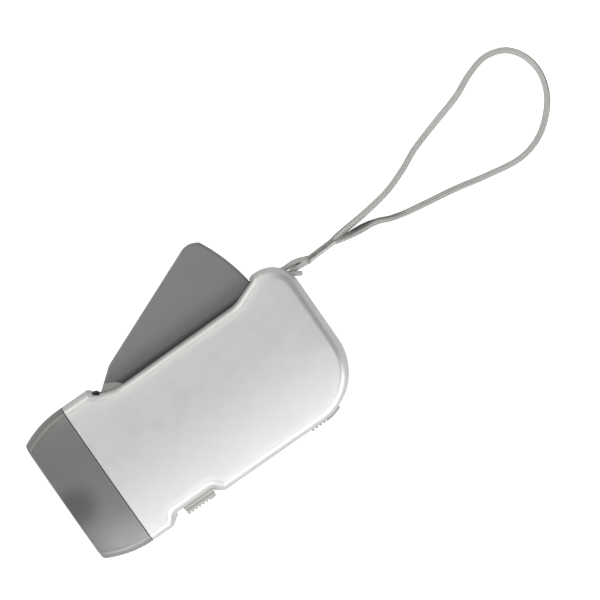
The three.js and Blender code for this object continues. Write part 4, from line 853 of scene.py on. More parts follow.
def lever_channel():
    turn = np.radians(np.linspace(0, 90, 8))
    edge = [(LEVER_EDGE * (1 - math.cos(a)), LEVER_HALF - LEVER_EDGE * (1 - math.sin(a))) for a in turn]
    corners = lever_corners()
    form = skin("lever_channel", [
        opened([(x, y, MIDDLE_Z + z) for x, y in rounded_outline(corners, inset)])
        for inset, z in both_sides(edge)
    ])
    reach, top = LEVER_REACH - LEVER_WALL, FACE_RISE - LEVER_WALL
    hollow = [(ROOF_START_X, top, ROOF_TURN, 4), (LEVER_NOSE[0], HOLLOW_RISE, 0, 1),
              (HOLLOW_BACK_X, HOLLOW_RISE, 0, 1), (HOLLOW_BACK_X, -reach, 0, 1),
              (reach * 0.766, -reach, 0, 1)]
    hollow += [(*polar(reach, a), 0, 1) for a in np.linspace(-30, 0, 12)[:-1]]
    hollow += [(math.sqrt(reach**2 - top**2), top, 3.8, 6)]
    return worked(form, removed=[lever_slab(rounded_outline(hollow), -PLATES_APART, PLATES_APART)])


channel = lever_channel()
print("channel faces:", len(channel.data.polygons))

# %% [markdown]
# The hub stands a little proud of the side plates as two round discs. The toothed sector under the
# roof comes from the copy of the CAD lever, cut out between two radii about the pin, and two lugs
# at the end catch the latch.

# %% Hub, teeth and lugs
def about_pin(radius, sides, half):
    """A round slab about the pin, to this height on both sides of the parting plane."""
    return lever_slab(circle((0, 0), radius, sides), -half, half)


def hub_faces():
    """The two raised discs of the hub, with an eased rim, inside the lever's own outline."""
    edge = [(HUB_RADIUS - HUB_ROUND * (1 - math.cos(a)), HUB_FACE + HUB_ROUND * math.sin(a))
            for a in np.radians([0, 30, 60, 90])]
    disc = skin("lever_hub", [
        opened([(x, y, MIDDLE_Z + z) for x, y in circle((0, 0), radius, 96)])
        for radius, z in both_sides(edge)
    ])
    limit = lever_slab(rounded_outline(lever_corners(), 0.1), -8, 8)
    between = about_pin(9, 40, LEVER_HALF - 0.05)
    return eased(worked(disc, removed=[between, about_pin(PIN_BORE, 28, 9)], kept=[limit]))


def toothed_sector():
    inner, outer = TOOTH_RADII
    ring = [polar(outer, a) for a in np.linspace(-75, 12, 60)]
    ring += [polar(inner, a) for a in np.linspace(12, -75, 60)]
    return worked(sector_source, kept=[lever_slab(ring, -1.6, 1.6)])


def sector_corners(radii, angles):
    (inner, outer), (first, last) = radii, angles
    return [polar(inner, first), polar(outer, first), polar(outer, last), polar(inner, last)]


def stop_lugs():
    lug = sector_corners(LUG_RADII, LUG_ANGLES)
    return [lever_slab(lug, *span) for span in ((-LEVER_HALF, -3.7), (3.7, LEVER_HALF))]


window_half = math.degrees(math.asin(WINDOW_HALF / LEVER_REACH))
window = sector_corners(WINDOW_RADII, (WINDOW_ANGLE - window_half, WINDOW_ANGLE + window_half))
lever = worked(
    channel,
    joined=[toothed_sector(), *stop_lugs()],
    removed=[lever_slab(window, -2.1, 2.1), about_pin(PLATES_APART - 0.1, 40, PLATES_APART),
             about_pin(PIN_BORE, 28, 9)],
)
eased(lever, 28)
lever_hub = hub_faces()
print("lever faces:", len(lever.data.polygons), "hub faces:", len(lever_hub.data.polygons))

# %% [markdown]
# What repeats is made by Geometry Nodes, and the finishes are node trees too. These helpers place a
# node with its settings and inputs, start and close a tree, and run one on an empty mesh.

# %% Helpers for node trees
def set_inputs(tree, node, inputs):
    """Gives a node's inputs their values: a link from another socket, or a constant."""
    for title, value in inputs.items():
        if isinstance(value, bpy.types.NodeSocket):
            tree.links.new(value, node.inputs[title])
        else:
            node.inputs[title].default_value = value


def new_node(tree, kind, inputs={}, **settings):
    node = tree.nodes.new(kind)
    for title, value in settings.items():
        setattr(node, title, value)
    set_inputs(tree, node, inputs)
    return node


def new_tree(name, kind, inputs, outputs):
    """A tree with inputs (name, kind, value), outputs (name, kind) and its two end nodes."""
    tree = bpy.data.node_groups.new(name, kind)
    for title, socket, value in inputs:
        tree.interface.new_socket(title, in_out="INPUT", socket_type=socket).default_value = value
    for title, socket in outputs:
        tree.interface.new_socket(title, in_out="OUTPUT", socket_type=socket)
    return tree, tree.nodes.new("NodeGroupInput"), tree.nodes.new("NodeGroupOutput")


def geometry_tree(name, inputs):
    return new_tree(name, "GeometryNodeTree", inputs, [("Geometry", "NodeSocketGeometry")])


def close_tree(tree, made, out):
    """Ends a tree with real geometry and a place for its material."""
    real = new_node(tree, "GeometryNodeRealizeInstances", {"Geometry": made})
    finish = new_node(tree, "GeometryNodeSetMaterial", {"Geometry": real.outputs["Geometry"]})
    set_inputs(tree, out, {"Geometry": finish.outputs["Geometry"]})
    return tree


def from_tree(name, tree, **values):
    """Runs a tree on an empty mesh and keeps its result as a plain mesh."""
    piece = bpy.data.objects.new(name, bpy.data.meshes.new(name))
    bpy.context.collection.objects.link(piece)
    step = piece.modifiers.new("made by nodes", "NODES")
    step.node_group = tree
    sockets = {s.name: s.identifier for s in tree.interface.items_tree if s.in_out == "INPUT"}
    for title, value in values.items():
        step[sockets[title]] = value
    made = bpy.data.meshes.new_from_object(piece.evaluated_get(bpy.context.evaluated_depsgraph_get()))
    piece.modifiers.clear()
    piece.data, made.name = made, name
    return piece


print("trees so far:", len(bpy.data.node_groups))

# %% [markdown]
# Thumb ribs repeat, so a tree lays them out: a line of points, one rounded bar on each, real
# geometry at the end and a material on it. The same tree serves the lamp switch and the lever
# latch, with its sizes given through named inputs.

# %% Node tree for a row of ribs
def rib_tree():
    number, length = "NodeSocketInt", "NodeSocketFloat"
    tree, given, out = geometry_tree("row of thumb ribs", [
        ("Ribs", number, 5), ("Pitch", length, 0.0013), ("Radius", length, 0.0005),
        ("Length", length, 0.012), ("Start", "NodeSocketVector", (0, 0, 0)),
    ])
    along = new_node(tree, "ShaderNodeCombineXYZ", {"X": given.outputs["Pitch"]})
    row = new_node(tree, "GeometryNodeMeshLine", {
        "Count": given.outputs["Ribs"], "Start Location": given.outputs["Start"],
        "Offset": along.outputs[0],
    })
    bar = new_node(tree, "GeometryNodeMeshCylinder", {
        "Vertices": 20, "Radius": given.outputs["Radius"], "Depth": given.outputs["Length"],
    })
    each = new_node(tree, "GeometryNodeInstanceOnPoints", {
        "Points": row.outputs["Mesh"], "Instance": bar.outputs["Mesh"],
    })
    return close_tree(tree, each.outputs["Instances"], out)


ribs_tree = rib_tree()
print("rib tree:", len(ribs_tree.nodes), "nodes")

# %% [markdown]
# The lamp switch is a moulded block with six ribs and a plain thumb rest at its tail end. The
# latch is a pad that follows the curved corner of the casing, ribbed where the edge is straight.
# Their stems and hook inside the casing keep the CAD model's shape.

# %% Sliders
# Ribs of a slider: how many, how far apart, their radius and length.
KNOB_RIBS, LATCH_RIBS = (6, 1.36, 0.46, 12.4), (4, 1.45, 0.5, 8)


def eased_slab(name, outline, span, edge=0.25):
    """A slab whose end faces have a small round, from (x, y, radius, steps) corners."""
    middle, half = sum(span) / 2, (span[1] - span[0]) / 2
    turn = np.radians([0, 30, 60, 90])
    levels = [(edge * (1 - math.cos(a)), half - edge * (1 - math.sin(a))) for a in turn]
    return skin(name, [
        [(x, y, middle + rise) for x, y in rounded_outline(outline, inset)]
        for inset, rise in both_sides(levels)
    ])


def rib_row(count, pitch, radius, length, start):
    return from_tree("ribs", ribs_tree, Ribs=count, Pitch=pitch * MILLIMETRE, Radius=radius * MILLIMETRE,
                     Length=length * MILLIMETRE, Start=in_frame([start])[0].tolist())


def knob_part(name, x_span, y_span, radius, z_span):
    """A rounded block of the knob; its X is measured from the knob's head end."""
    (x0, x1), (y0, y1) = [KNOB_X + x for x in x_span], y_span
    corners = [(x, y, radius, 4) for x, y in ((x0, y0), (x1, y0), (x1, y1), (x0, y1))]
    return eased_slab(name, corners, z_span)


knob = knob_part("lamp_switch_knob", (0, 11), (2.25, 3.3), 0.2, (5.0, 18.0))
knob_parts = [
    knob_part("body", (0.15, 10.85), (0.95, 2.1), 0.25, (5.2, 17.8)),
    knob_part("neck", (0.4, 10.6), (1.6, 2.6), 0.2, (5.5, 17.5)),
    knob_part("rest", (8.4, 10.85), (0.4, 2.0), 0.35, (5.2, 17.8)),
    worked(cad_copy("power_slider", "stem"), kept=[block((10, 30), (2.9, 12), OUTSIDE)]),
    rib_row(*KNOB_RIBS, (KNOB_X + 0.75, 0.86, MIDDLE_Z)),
]
worked(knob, joined=knob_parts)
eased(knob, 35)

LATCH_END = LATCH_X + 11.7
pad_form = worked(
    slab(rounded_outline(casing_corners(0), -0.5), *about_middle(8), name="lever_latch_pad"),
    removed=[slab(rounded_outline(casing_corners(0), 0.8), *OUTSIDE)],
    kept=[block((LATCH_X, LATCH_END), (LATCH_LOW, CORNER_Y), about_middle(9))],
)
ribbed_floor = block((LATCH_X - 1, LATCH_X + 5.6), (LATCH_LOW, 0.15), OUTSIDE)
latch_arm = worked(cad_copy("lock_slider", "arm"), kept=[block((50, 80), (0.7, 40), OUTSIDE)])
latch = worked(pad_form, removed=[ribbed_floor])
worked(latch, joined=[latch_arm, rib_row(*LATCH_RIBS, (LATCH_X + 0.5, 0.0, MIDDLE_Z))])
eased(latch, 35)
print("slider faces:", len(knob.data.polygons), len(latch.data.polygons))

# %% [markdown]
# Five pan head screws hold the back half to the front. One is modelled with its cross recess, and
# a second tree puts it on the five points where the bosses are.

# %% Screws
PAN_RADIUS, PAN_HEIGHT, SHANK_RADIUS, SCREW_LENGTH, SCREW_LEVEL = 1.98, 1.4, 1.0, 16.9, 0.0017
CROSS_LONG, CROSS_NARROW, CROSS_DEPTH = 1.1, 0.22, 0.75


def pan_head_screw():
    profile = [(POLE, 0.0), (1.0, 0.0), (1.55, 0.1), (1.85, 0.35), (PAN_RADIUS, 0.75),
               (PAN_RADIUS, PAN_HEIGHT), (SHANK_RADIUS, PAN_HEIGHT), (SHANK_RADIUS, SCREW_LENGTH - 0.5),
               (0.5, SCREW_LENGTH), (POLE, SCREW_LENGTH)]
    rings = [[(r * c, r * s, z) for c, s in circle((0, 0), 1, 28)] for r, z in profile]
    screw = skin("pan_head_screw", [np.add(ring, (SEAM_X, MIDDLE_Y, 0)) for ring in rings])
    cross = [block((SEAM_X - a, SEAM_X + a), (MIDDLE_Y - b, MIDDLE_Y + b), (-1, CROSS_DEPTH))
             for a, b in ((CROSS_LONG, CROSS_NARROW), (CROSS_NARROW, CROSS_LONG))]
    return eased(worked(screw, removed=cross), 30)


def screw_tree(shape, places):
    tree, given, out = geometry_tree("screws on their bosses", [("Height", "NodeSocketFloat", SCREW_LEVEL)])
    joined = new_node(tree, "GeometryNodeJoinGeometry")
    for x, y in places:
        spot = new_node(tree, "ShaderNodeCombineXYZ", {"X": x, "Y": y, "Z": given.outputs["Height"]})
        dot = new_node(tree, "GeometryNodePoints", {"Position": spot.outputs[0]})
        tree.links.new(dot.outputs[0], joined.inputs[0])
    source = new_node(tree, "GeometryNodeObjectInfo", {"Object": shape})
    about = new_node(tree, "FunctionNodeRandomValue", {"Max": (0, 0, 3.1), "Seed": 7},
                     data_type="FLOAT_VECTOR")
    each = new_node(tree, "GeometryNodeInstanceOnPoints", {
        "Points": joined.outputs[0], "Instance": source.outputs["Geometry"],
        "Rotation": about.outputs["Value"],
    })
    return close_tree(tree, each.outputs["Instances"], out)


screw_shape = pan_head_screw()
screw_places = in_frame([(x, y, 0) for x, y in SCREWS])[:, :2].tolist()
screws = from_tree("casing_screws", screw_tree(screw_shape, screw_places), Height=SCREW_LEVEL)
bpy.data.objects.remove(screw_shape)
print("screw faces:", len(screws.data.polygons))

# %% [markdown]
# ## Finishes
# Several finishes share an effect: every moulding has a fine grain, and every hard edge catches a
# little light and wears a little paler. Each effect is a node group that is built once and placed
# in the finishes with its own values. A group gives out only values that change over the surface;
# the shader stays in the finish itself.

# %% Helpers for node groups and finishes
FLOAT = "NodeSocketFloat"


def number_node(tree, how, *values, clamp=False):
    """A sum, product or other function of one to three numbers."""
    node = new_node(tree, "ShaderNodeMath", dict(enumerate(values)), operation=how, use_clamp=clamp)
    return node.outputs[0]


def mixed_colour(tree, share, first, second):
    node = new_node(tree, "ShaderNodeMix", data_type="RGBA")
    set_inputs(tree, node, {0: share, 6: first, 7: second})
    return node.outputs[2]


def noise(tree, place, size, detail=2.0, roughness=0.5):
    """Noise whose cells are about this many millimetres across; size may be a socket in metres."""
    if isinstance(size, bpy.types.NodeSocket):
        scale = number_node(tree, "DIVIDE", 1.0, size)
    else:
        scale = 1 / (size * MILLIMETRE)
    node = new_node(tree, "ShaderNodeTexNoise", {
        "Vector": place, "Scale": scale, "Detail": detail, "Roughness": roughness,
    })
    return node.outputs["Fac"]


def object_place(tree):
    return new_node(tree, "ShaderNodeTexCoord").outputs["Object"]


def blank_finish(name):
    material = bpy.data.materials.new(name)
    material.use_nodes = True
    return material, material.node_tree, material.node_tree.nodes["Principled BSDF"]


def relief(tree, **inputs):
    """A normal with fine relief; Height, Strength and Distance, and a Normal to lay it on."""
    return new_node(tree, "ShaderNodeBump", inputs).outputs["Normal"]


print("finishes so far:", len(bpy.data.materials))

# %% [markdown]
# Moulded grain: two sizes of noise, the larger for the gentle waviness of a moulding and the finer
# for its texture. It gives one height, and one mask for colour and gloss.

# %% Grain, edge and dust groups
def grain_group():
    group, given, out = new_tree(
        "moulded grain", "ShaderNodeTree",
        [("Fine Size", FLOAT, 0.0002), ("Wave Size", FLOAT, 0.004), ("Wave Share", FLOAT, 0.4)],
        [("Height", FLOAT), ("Mask", FLOAT)],
    )
    place = object_place(group)
    fine = noise(group, place, given.outputs["Fine Size"], 3)
    wave = noise(group, place, given.outputs["Wave Size"], 1)
    raised = number_node(group, "MULTIPLY", wave, given.outputs["Wave Share"])
    both = number_node(group, "ADD", fine, wave)
    set_inputs(group, out, {
        "Height": number_node(group, "ADD", fine, raised),
        "Mask": number_node(group, "MULTIPLY", both, 0.5),
    })
    return group


def edge_group():
    """Compares the true normal with one rounded over the edges: they differ only at an edge."""
    group, given, out = new_tree(
        "eased edges", "ShaderNodeTree",
        [("Breakup Size", FLOAT, 0.0015)], [("Normal", "NodeSocketVector"), ("Edge", FLOAT)],
    )
    rounded = new_node(group, "ShaderNodeBevel", {"Radius": 0.00022}, samples=6).outputs["Normal"]
    true = new_node(group, "ShaderNodeNewGeometry").outputs["Normal"]
    dot = new_node(group, "ShaderNodeVectorMath", {0: rounded, 1: true}, operation="DOT_PRODUCT")
    turned_away = number_node(group, "SUBTRACT", 1.0, dot.outputs["Value"])
    patchy = noise(group, object_place(group), given.outputs["Breakup Size"], 3)
    worn = number_node(group, "MULTIPLY", turned_away, 6.0, clamp=True)
    edge = number_node(group, "MULTIPLY", worn, patchy, clamp=True)
    set_inputs(group, out, {"Normal": rounded, "Edge": edge})
    return group


def dust_group():
    """Dust and finger marks: soft patches that dull the gloss, more on faces that look up."""
    group, given, out = new_tree("dust and handling", "ShaderNodeTree",
                                 [("Patch Size", FLOAT, 0.012)], [("Dust", FLOAT)])
    place = object_place(group)
    patches = noise(group, place, given.outputs["Patch Size"], 4, 0.6)
    specks = noise(group, place, 0.5, 2)
    normal = new_node(group, "ShaderNodeNewGeometry").outputs["Normal"]
    facing = new_node(group, "ShaderNodeSeparateXYZ", {0: normal})
    upward = number_node(group, "MULTIPLY_ADD", facing.outputs["Z"], 0.5, 0.5)
    worn = number_node(group, "MULTIPLY", number_node(group, "MULTIPLY", patches, specks), upward)
    set_inputs(group, out, {"Dust": number_node(group, "MULTIPLY", worn, 2.0, clamp=True)})
    return group


grain, edges, dust = grain_group(), edge_group(), dust_group()
print("groups:", ", ".join(group.name for group in (grain, edges, dust)))

# %% [markdown]
# A moulded or painted finish puts the three groups to use: the grain in its colour, gloss and
# relief, the edges a little paler, and dust that dulls the gloss. A soft oval patch can lay painted
# shade or a painted reflection on one place.

# %% Finish of a moulding
ALL_HEIGHTS = 1e3
GLOSS_SPREAD, DUST_DULLS = 0.16, 0.12


def placed(tree, group, inputs={}):
    return new_node(tree, "ShaderNodeGroup", inputs, node_tree=group)


def patch(tree, centre, radii, turn=0.0):
    """A soft oval mask about a place in plan, on both faces: 1 at its middle, 0 outside."""
    shift = new_node(tree, "ShaderNodeMapping", {
        "Vector": object_place(tree),
        "Location": (*in_frame([(*centre, 0)])[0][:2].tolist(), 0),
        "Rotation": (0, 0, math.radians(turn)),
        "Scale": (radii[0] * MILLIMETRE, radii[1] * MILLIMETRE, ALL_HEIGHTS),
    }, vector_type="TEXTURE")
    away = new_node(tree, "ShaderNodeVectorMath", {0: shift.outputs["Vector"]}, operation="LENGTH")
    soft = new_node(tree, "ShaderNodeMapRange", {
        "Value": away.outputs["Value"], "From Min": 1.0, "From Max": 0.25,
    }, interpolation_type="SMOOTHSTEP")
    return soft.outputs["Result"]


def moulded_finish(name, colour, worn_colour, roughness, metallic=0.0, fine=0.0002, wave=0.004,
                   wave_share=0.4, bump=0.3, bump_height=0.00001, mottling=0.06, edge_share=0.5,
                   overlay=None, more={}):
    """A moulded or painted finish: grain in height, colour and gloss, with paler worn edges.

    overlay may be a function that lays painted shade, or a painted view of what lies behind, over the base
    colour."""
    material, tree, shader = blank_finish(name)
    skin_grain = placed(tree, grain, {"Fine Size": fine, "Wave Size": wave, "Wave Share": wave_share})
    edge = placed(tree, edges)
    marks = placed(tree, dust)
    darker = tuple(c * (1 - mottling) for c in colour) + (1,)
    lighter = tuple(min(1.0, c * (1 + mottling)) for c in colour) + (1,)
    base = mixed_colour(tree, skin_grain.outputs["Mask"], darker, lighter)
    if overlay:
        base = overlay(tree, base)
    worn = number_node(tree, "MULTIPLY", edge.outputs["Edge"], edge_share, clamp=True)
    gloss = number_node(tree, "MULTIPLY_ADD", skin_grain.outputs["Mask"], GLOSS_SPREAD,
                        roughness - GLOSS_SPREAD / 2)
    dulled = number_node(tree, "MULTIPLY", marks.outputs["Dust"], DUST_DULLS)
    set_inputs(tree, shader, {
        "Base Color": mixed_colour(tree, worn, base, worn_colour + (1,)),
        "Roughness": number_node(tree, "ADD", gloss, dulled, clamp=True),
        "Normal": relief(tree, Height=skin_grain.outputs["Height"], Strength=bump,
                         Distance=bump_height, Normal=edge.outputs["Normal"]),
        "Metallic": metallic, **more,
    })
    return material


print(f"gloss varies by {GLOSS_SPREAD} with the grain")

# %% [markdown]
# The casing is sprayed with a satin silver paint: aluminium flake in a clear binder. The flake makes
# it a little more than half a metal, and a fine mottling shows where the flakes lie unevenly.

# %% Finishes of the mouldings
def below_line(tree, clear_y, dark_y, depth):
    """A mask that grows from nothing at clear_y to depth at dark_y, towards the switch edge."""
    clear, dark = (float(in_frame([(0, y, 0)])[0][1]) for y in (clear_y, dark_y))
    parts = new_node(tree, "ShaderNodeSeparateXYZ", {0: object_place(tree)})
    fade = new_node(tree, "ShaderNodeMapRange", {
        "Value": parts.outputs["Y"], "From Min": clear, "From Max": dark,
    }, interpolation_type="SMOOTHSTEP")
    return number_node(tree, "MULTIPLY", fade.outputs["Result"], depth)


# Colour of the painted shade along the slot's lip on the lever.
LIP_SHADE_COLOUR = (0.025, 0.026, 0.025, 1)
# Colours of the painted reflection of the lower cup and of the painted shade between the cups.
PAINTED_CUP_GLEAM, PAINTED_HOLLOW_SHADE = (0.31, 0.31, 0.315, 1), (0.06, 0.065, 0.062, 1)


def lip_painted_shade(tree, base):
    """Painted shade that the lip of the slot casts on the lever: a broad haze and a dark line."""
    base = mixed_colour(tree, below_line(tree, 55.0, 47.5, 0.4), base, LIP_SHADE_COLOUR)
    return mixed_colour(tree, below_line(tree, 49.4, 47.6, 0.8), base, LIP_SHADE_COLOUR)


def cups_painted_behind(tree, base):
    """Painted shade of the dark hollow between the two mirror cups, and a painted reflection of the lower
    cup, laid on the smoked colour.
    """
    gleam = patch(tree, (-7, 2), (15, 15))
    base = mixed_colour(tree, number_node(tree, "MULTIPLY", gleam, 0.8), base, PAINTED_CUP_GLEAM)
    hollow = patch(tree, (-14.5, 23), (11, 9.5))
    return mixed_colour(tree, number_node(tree, "MULTIPLY", hollow, 0.6), base, PAINTED_HOLLOW_SHADE)


silver_paint = moulded_finish("silver_paint", (0.64, 0.64, 0.645), (0.74, 0.73, 0.71), 0.34, metallic=0.6,
                              fine=0.00028, wave=0.003, wave_share=0.3, bump=0.25, bump_height=0.000006,
                              mottling=0.06, more={"Coat Weight": 0.1, "Coat Roughness": 0.3})
# The smoked head carries a painted reflection of the lower cup and painted shade between the cups.
smoked_plastic = moulded_finish("smoked_plastic", (0.2, 0.205, 0.2), (0.34, 0.34, 0.33), 0.33, metallic=0.6,
                                fine=0.0004, wave=0.009, bump=0.2, mottling=0.04, edge_share=0.35,
                                overlay=cups_painted_behind)
# The lever's grey carries painted shade below the slot's lip.
lever_grey = moulded_finish("lever_grey", (0.19, 0.194, 0.196), (0.27, 0.27, 0.26), 0.46, fine=0.00022,
                            wave=0.005, bump=0.5, bump_height=0.000015, mottling=0.08, edge_share=0.5,
                            overlay=lip_painted_shade)
# The hub is the lever's own grey plastic, painted lighter: a painted highlight on its raised discs.
hub_grey = moulded_finish("hub_grey", (0.3, 0.302, 0.292), (0.5, 0.5, 0.48), 0.4, fine=0.00022, bump=0.4,
                          bump_height=0.000012, mottling=0.06)
slider_grey = moulded_finish("slider_grey", (0.5, 0.495, 0.46), (0.6, 0.59, 0.56), 0.45, fine=0.00022,
                             bump=0.5, bump_height=0.000015, mottling=0.08)
black_plastic = moulded_finish("switch_black", (0.02, 0.02, 0.022), (0.08, 0.08, 0.08), 0.4)
gear_nylon = moulded_finish("gear_nylon", (0.72, 0.7, 0.62), (0.8, 0.78, 0.72), 0.42,
                            more={"Subsurface Weight": 0.1, "Subsurface Scale": 0.002})
ferrite_grey = moulded_finish("ferrite_grey", (0.035, 0.036, 0.038), (0.1, 0.1, 0.1), 0.6, fine=0.00012,
                              bump=0.8)
print("finishes of mouldings:", len(bpy.data.materials))

# %% [markdown]
# Bare metal parts differ from paint in being all metal: the colour is the reflection's own tint.
# Turned steel shows fine rings, rolled tinplate fine lengthwise streaks, and the cups are plated.

# %% Finishes of the metals
def metal_finish(name, colour, roughness, streak=(0.15, 6.0, 6.0), streak_share=0.1, bump=0.15):
    """Bare metal with streaks; streak gives the noise cell's size in millimetres along X, Y, Z."""
    material, tree, shader = blank_finish(name)
    stretch = new_node(tree, "ShaderNodeMapping", {
        "Vector": object_place(tree), "Scale": [1 / size for size in streak],
    })
    lines = noise(tree, stretch.outputs["Vector"], 1.0, 3)
    edge = placed(tree, edges)
    marks = placed(tree, dust)
    dull = tuple(c * 0.86 for c in colour) + (1,)
    gloss = number_node(tree, "MULTIPLY_ADD", lines, streak_share, roughness - streak_share / 2)
    dulled = number_node(tree, "MULTIPLY", marks.outputs["Dust"], 0.1)
    set_inputs(tree, shader, {
        "Base Color": mixed_colour(tree, lines, dull, colour + (1,)),
        "Roughness": number_node(tree, "ADD", gloss, dulled, clamp=True),
        "Normal": relief(tree, Height=lines, Strength=bump, Distance=0.00001,
                         Normal=edge.outputs["Normal"]),
        "Metallic": 1.0,
    })
    return material


bright_tin = metal_finish("bright_tin", (0.9, 0.89, 0.87), 0.34, streak=(6, 0.2, 0.2))
crimped_tin = metal_finish("crimped_tin", (0.42, 0.425, 0.41), 0.45, streak=(6, 0.2, 0.2))
turned_steel = metal_finish("turned_steel", (0.6, 0.6, 0.61), 0.3, streak=(3, 3, 0.12))
plated_mirror = metal_finish("plated_mirror", (0.9, 0.9, 0.88), 0.07, streak=(0.8, 3, 3),
                             streak_share=0.03, bump=0.05)
laminated_iron = metal_finish("laminated_iron", (0.33, 0.34, 0.36), 0.42, streak=(5, 5, 0.35), bump=0.9)
enamelled_wire = metal_finish("enamelled_wire", (0.72, 0.3, 0.13), 0.28, streak=(5, 0.22, 5), bump=1.0)
print("finishes with the metals:", len(bpy.data.materials))

# %% [markdown]
# The lens and the lamps' epoxy are clear, with the faint haze of a moulding. The circuit board is
# green lacquer over woven glass.

# %% Clear plastics and the circuit board
def clear_finish(name, colour, roughness, transmission=1.0, alpha=1.0):
    material, tree, shader = blank_finish(name)
    skin_grain = placed(tree, grain, {"Fine Size": 0.0012, "Wave Size": 0.008, "Wave Share": 1.0})
    marks = placed(tree, dust)
    darker = tuple(c * 0.96 for c in colour) + (1,)
    set_inputs(tree, shader, {
        "Base Color": mixed_colour(tree, skin_grain.outputs["Mask"], darker, colour + (1,)),
        "Roughness": number_node(tree, "MULTIPLY_ADD", marks.outputs["Dust"], 0.1, roughness),
        "Normal": relief(tree, Height=skin_grain.outputs["Height"], Strength=0.08, Distance=0.00001),
        "Transmission Weight": transmission, "Alpha": alpha, "IOR": 1.49,
    })
    return material


clear_lens_finish = clear_finish("clear_lens_finish", (0.3, 0.305, 0.3), 0.06, 0.0, 0.16)
lamp_epoxy = clear_finish("lamp_epoxy", (0.95, 0.96, 0.97), 0.02)
board_green = moulded_finish("board_green", (0.03, 0.16, 0.07), (0.4, 0.42, 0.3), 0.3, fine=0.0005, bump=0.6,
                             mottling=0.25)
print("clear finishes:", clear_lens_finish.name, "and", lamp_epoxy.name)

# %% [markdown]
# The strap's finish reads the UV map that the cord was drawn with: whole numbers along it are rows
# of the braid. Hollows between the strands get painted shade, and loose fibre makes the colour
# uneven. Soft patches paint the shade where one strand lies over another.

# %% Woven strap
FIBRE_DARK, FIBRE_PALE, FIBRE_WORN = (0.5, 0.51, 0.49, 1), (0.9, 0.91, 0.88, 1), (0.5, 0.52, 0.5, 1)
# Colours of painted shade: in the hollows between strands, and where one strand shades another.
SHADE_BETWEEN_STRANDS, IN_SHADE = (0.12, 0.13, 0.12, 1), (0.05, 0.056, 0.05, 1)
# Where one strand shades another: middle, half sizes, turn in degrees, depth of the shade.
SHADED_CORD = [
    ((112.3, 44.4), (11, 1.8), -5, 0.92),
    ((120.5, 42.2), (8, 1.3), -25, 0.7),
    ((87, 46.4), (3.9, 0.6), -7, 0.95),
]


def braid_finish():
    material, tree, shader = blank_finish("strap_weave")
    marks = new_node(tree, "ShaderNodeUVMap", uv_map="braid")
    parts = new_node(tree, "ShaderNodeSeparateXYZ", {0: marks.outputs["UV"]})
    rows, columns = parts.outputs["X"], parts.outputs["Y"]
    lean = number_node(tree, "MULTIPLY_ADD", number_node(tree, "FLOOR", columns), 0.5, rows)
    row = number_node(tree, "SINE", number_node(tree, "MULTIPLY", lean, math.pi))
    column = number_node(tree, "SINE", number_node(tree, "MULTIPLY", columns, math.pi))
    stitch = number_node(tree, "ABSOLUTE", row)
    strand = number_node(tree, "MULTIPLY", stitch, number_node(tree, "ABSOLUTE", column))
    plies = number_node(tree, "SINE", number_node(tree, "MULTIPLY", lean, math.pi * 10))
    fibre = noise(tree, object_place(tree), 0.12, 3, 0.6)
    unevenness = noise(tree, object_place(tree), 3.0, 2)
    body = mixed_colour(tree, fibre, FIBRE_DARK, FIBRE_PALE)
    body = mixed_colour(tree, number_node(tree, "MULTIPLY", unevenness, 0.4), body, FIBRE_WORN)
    # Painted shade in the hollows between the strands.
    hollow = number_node(tree, "POWER", number_node(tree, "SUBTRACT", 1.0, strand), 1.6)
    deep = number_node(tree, "MULTIPLY", hollow, 0.85, clamp=True)
    colour = mixed_colour(tree, deep, body, SHADE_BETWEEN_STRANDS)
    for centre, radii, turn, depth in SHADED_CORD:
        shade = number_node(tree, "MULTIPLY", patch(tree, centre, radii, turn), depth)
        colour = mixed_colour(tree, shade, colour, IN_SHADE)
    height = number_node(tree, "ADD", strand, number_node(tree, "MULTIPLY", plies, 0.15))
    height = number_node(tree, "ADD", height, number_node(tree, "MULTIPLY", fibre, 0.5))
    set_inputs(tree, shader, {
        "Base Color": colour, "Normal": relief(tree, Height=height, Strength=0.7, Distance=0.00006),
        "Roughness": 0.8, "Sheen Weight": 0.25, "Sheen Roughness": 0.4,
    })
    return material


strap_weave = braid_finish()
print("strap finish:", len(strap_weave.node_tree.nodes), "nodes")

# %% [markdown]
# ## Putting it together
# Each piece gets its finish, the CAD body it moves with, and the node that it replaces. CAD nodes
# that stay as they are get the same finishes in their slots.

# %% Finishes, bodies and nodes
def dressed(piece, finish, body, slot, *nodes):
    piece.data.materials.clear()
    piece.data.materials.append(finish)
    for face in piece.data.polygons:
        face.material_index = 0
    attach(piece, body)
    if nodes:
        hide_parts(*nodes)
    return piece


dressed(front_casing, silver_paint, "housing", "silver_casing", "front_shell")
dressed(back_casing, silver_paint, "housing", "silver_casing", "back_shell")
dressed(head_sleeve, smoked_plastic, "housing", "smoked_plastic", "head_cover")
dressed(clear_lens, clear_lens_finish, "housing", "clear_lens", "front_lens")
dressed(cups, plated_mirror, "housing", "bright_mirror", "reflector")
for bullet, lead, node in zip(bullets, leads, ("lamp_lower", "lamp_upper")):
    dressed(bullet, lamp_epoxy, "housing", "lamp_epoxy", node)
    dressed(lead, bright_tin, "housing", "steel")
dressed(lever_stop, black_plastic, "housing", "lever_grey")
dressed(lever, lever_grey, "lever", "lever_grey", "squeeze_lever")
dressed(lever_hub, hub_grey, "lever", "lever_grey")
dressed(knob, slider_grey, "power_knob", "slider_grey", "power_slider")
dressed(latch, slider_grey, "lever_latch", "slider_grey", "lock_slider")
dressed(screws, turned_steel, "housing", "steel", *[f"casing_screw_{i}" for i in range(1, 6)])
dressed(wrist_cord, strap_weave, "housing", "strap_weave", "wrist_strap")
dressed(anchor_cord, strap_weave, "housing", "strap_weave", "strap_anchor_loop")
dressed(cut_end, strap_weave, "housing", "strap_weave")
dressed(ferrule, crimped_tin, "housing", "bright_mirror", "strap_ferrule")

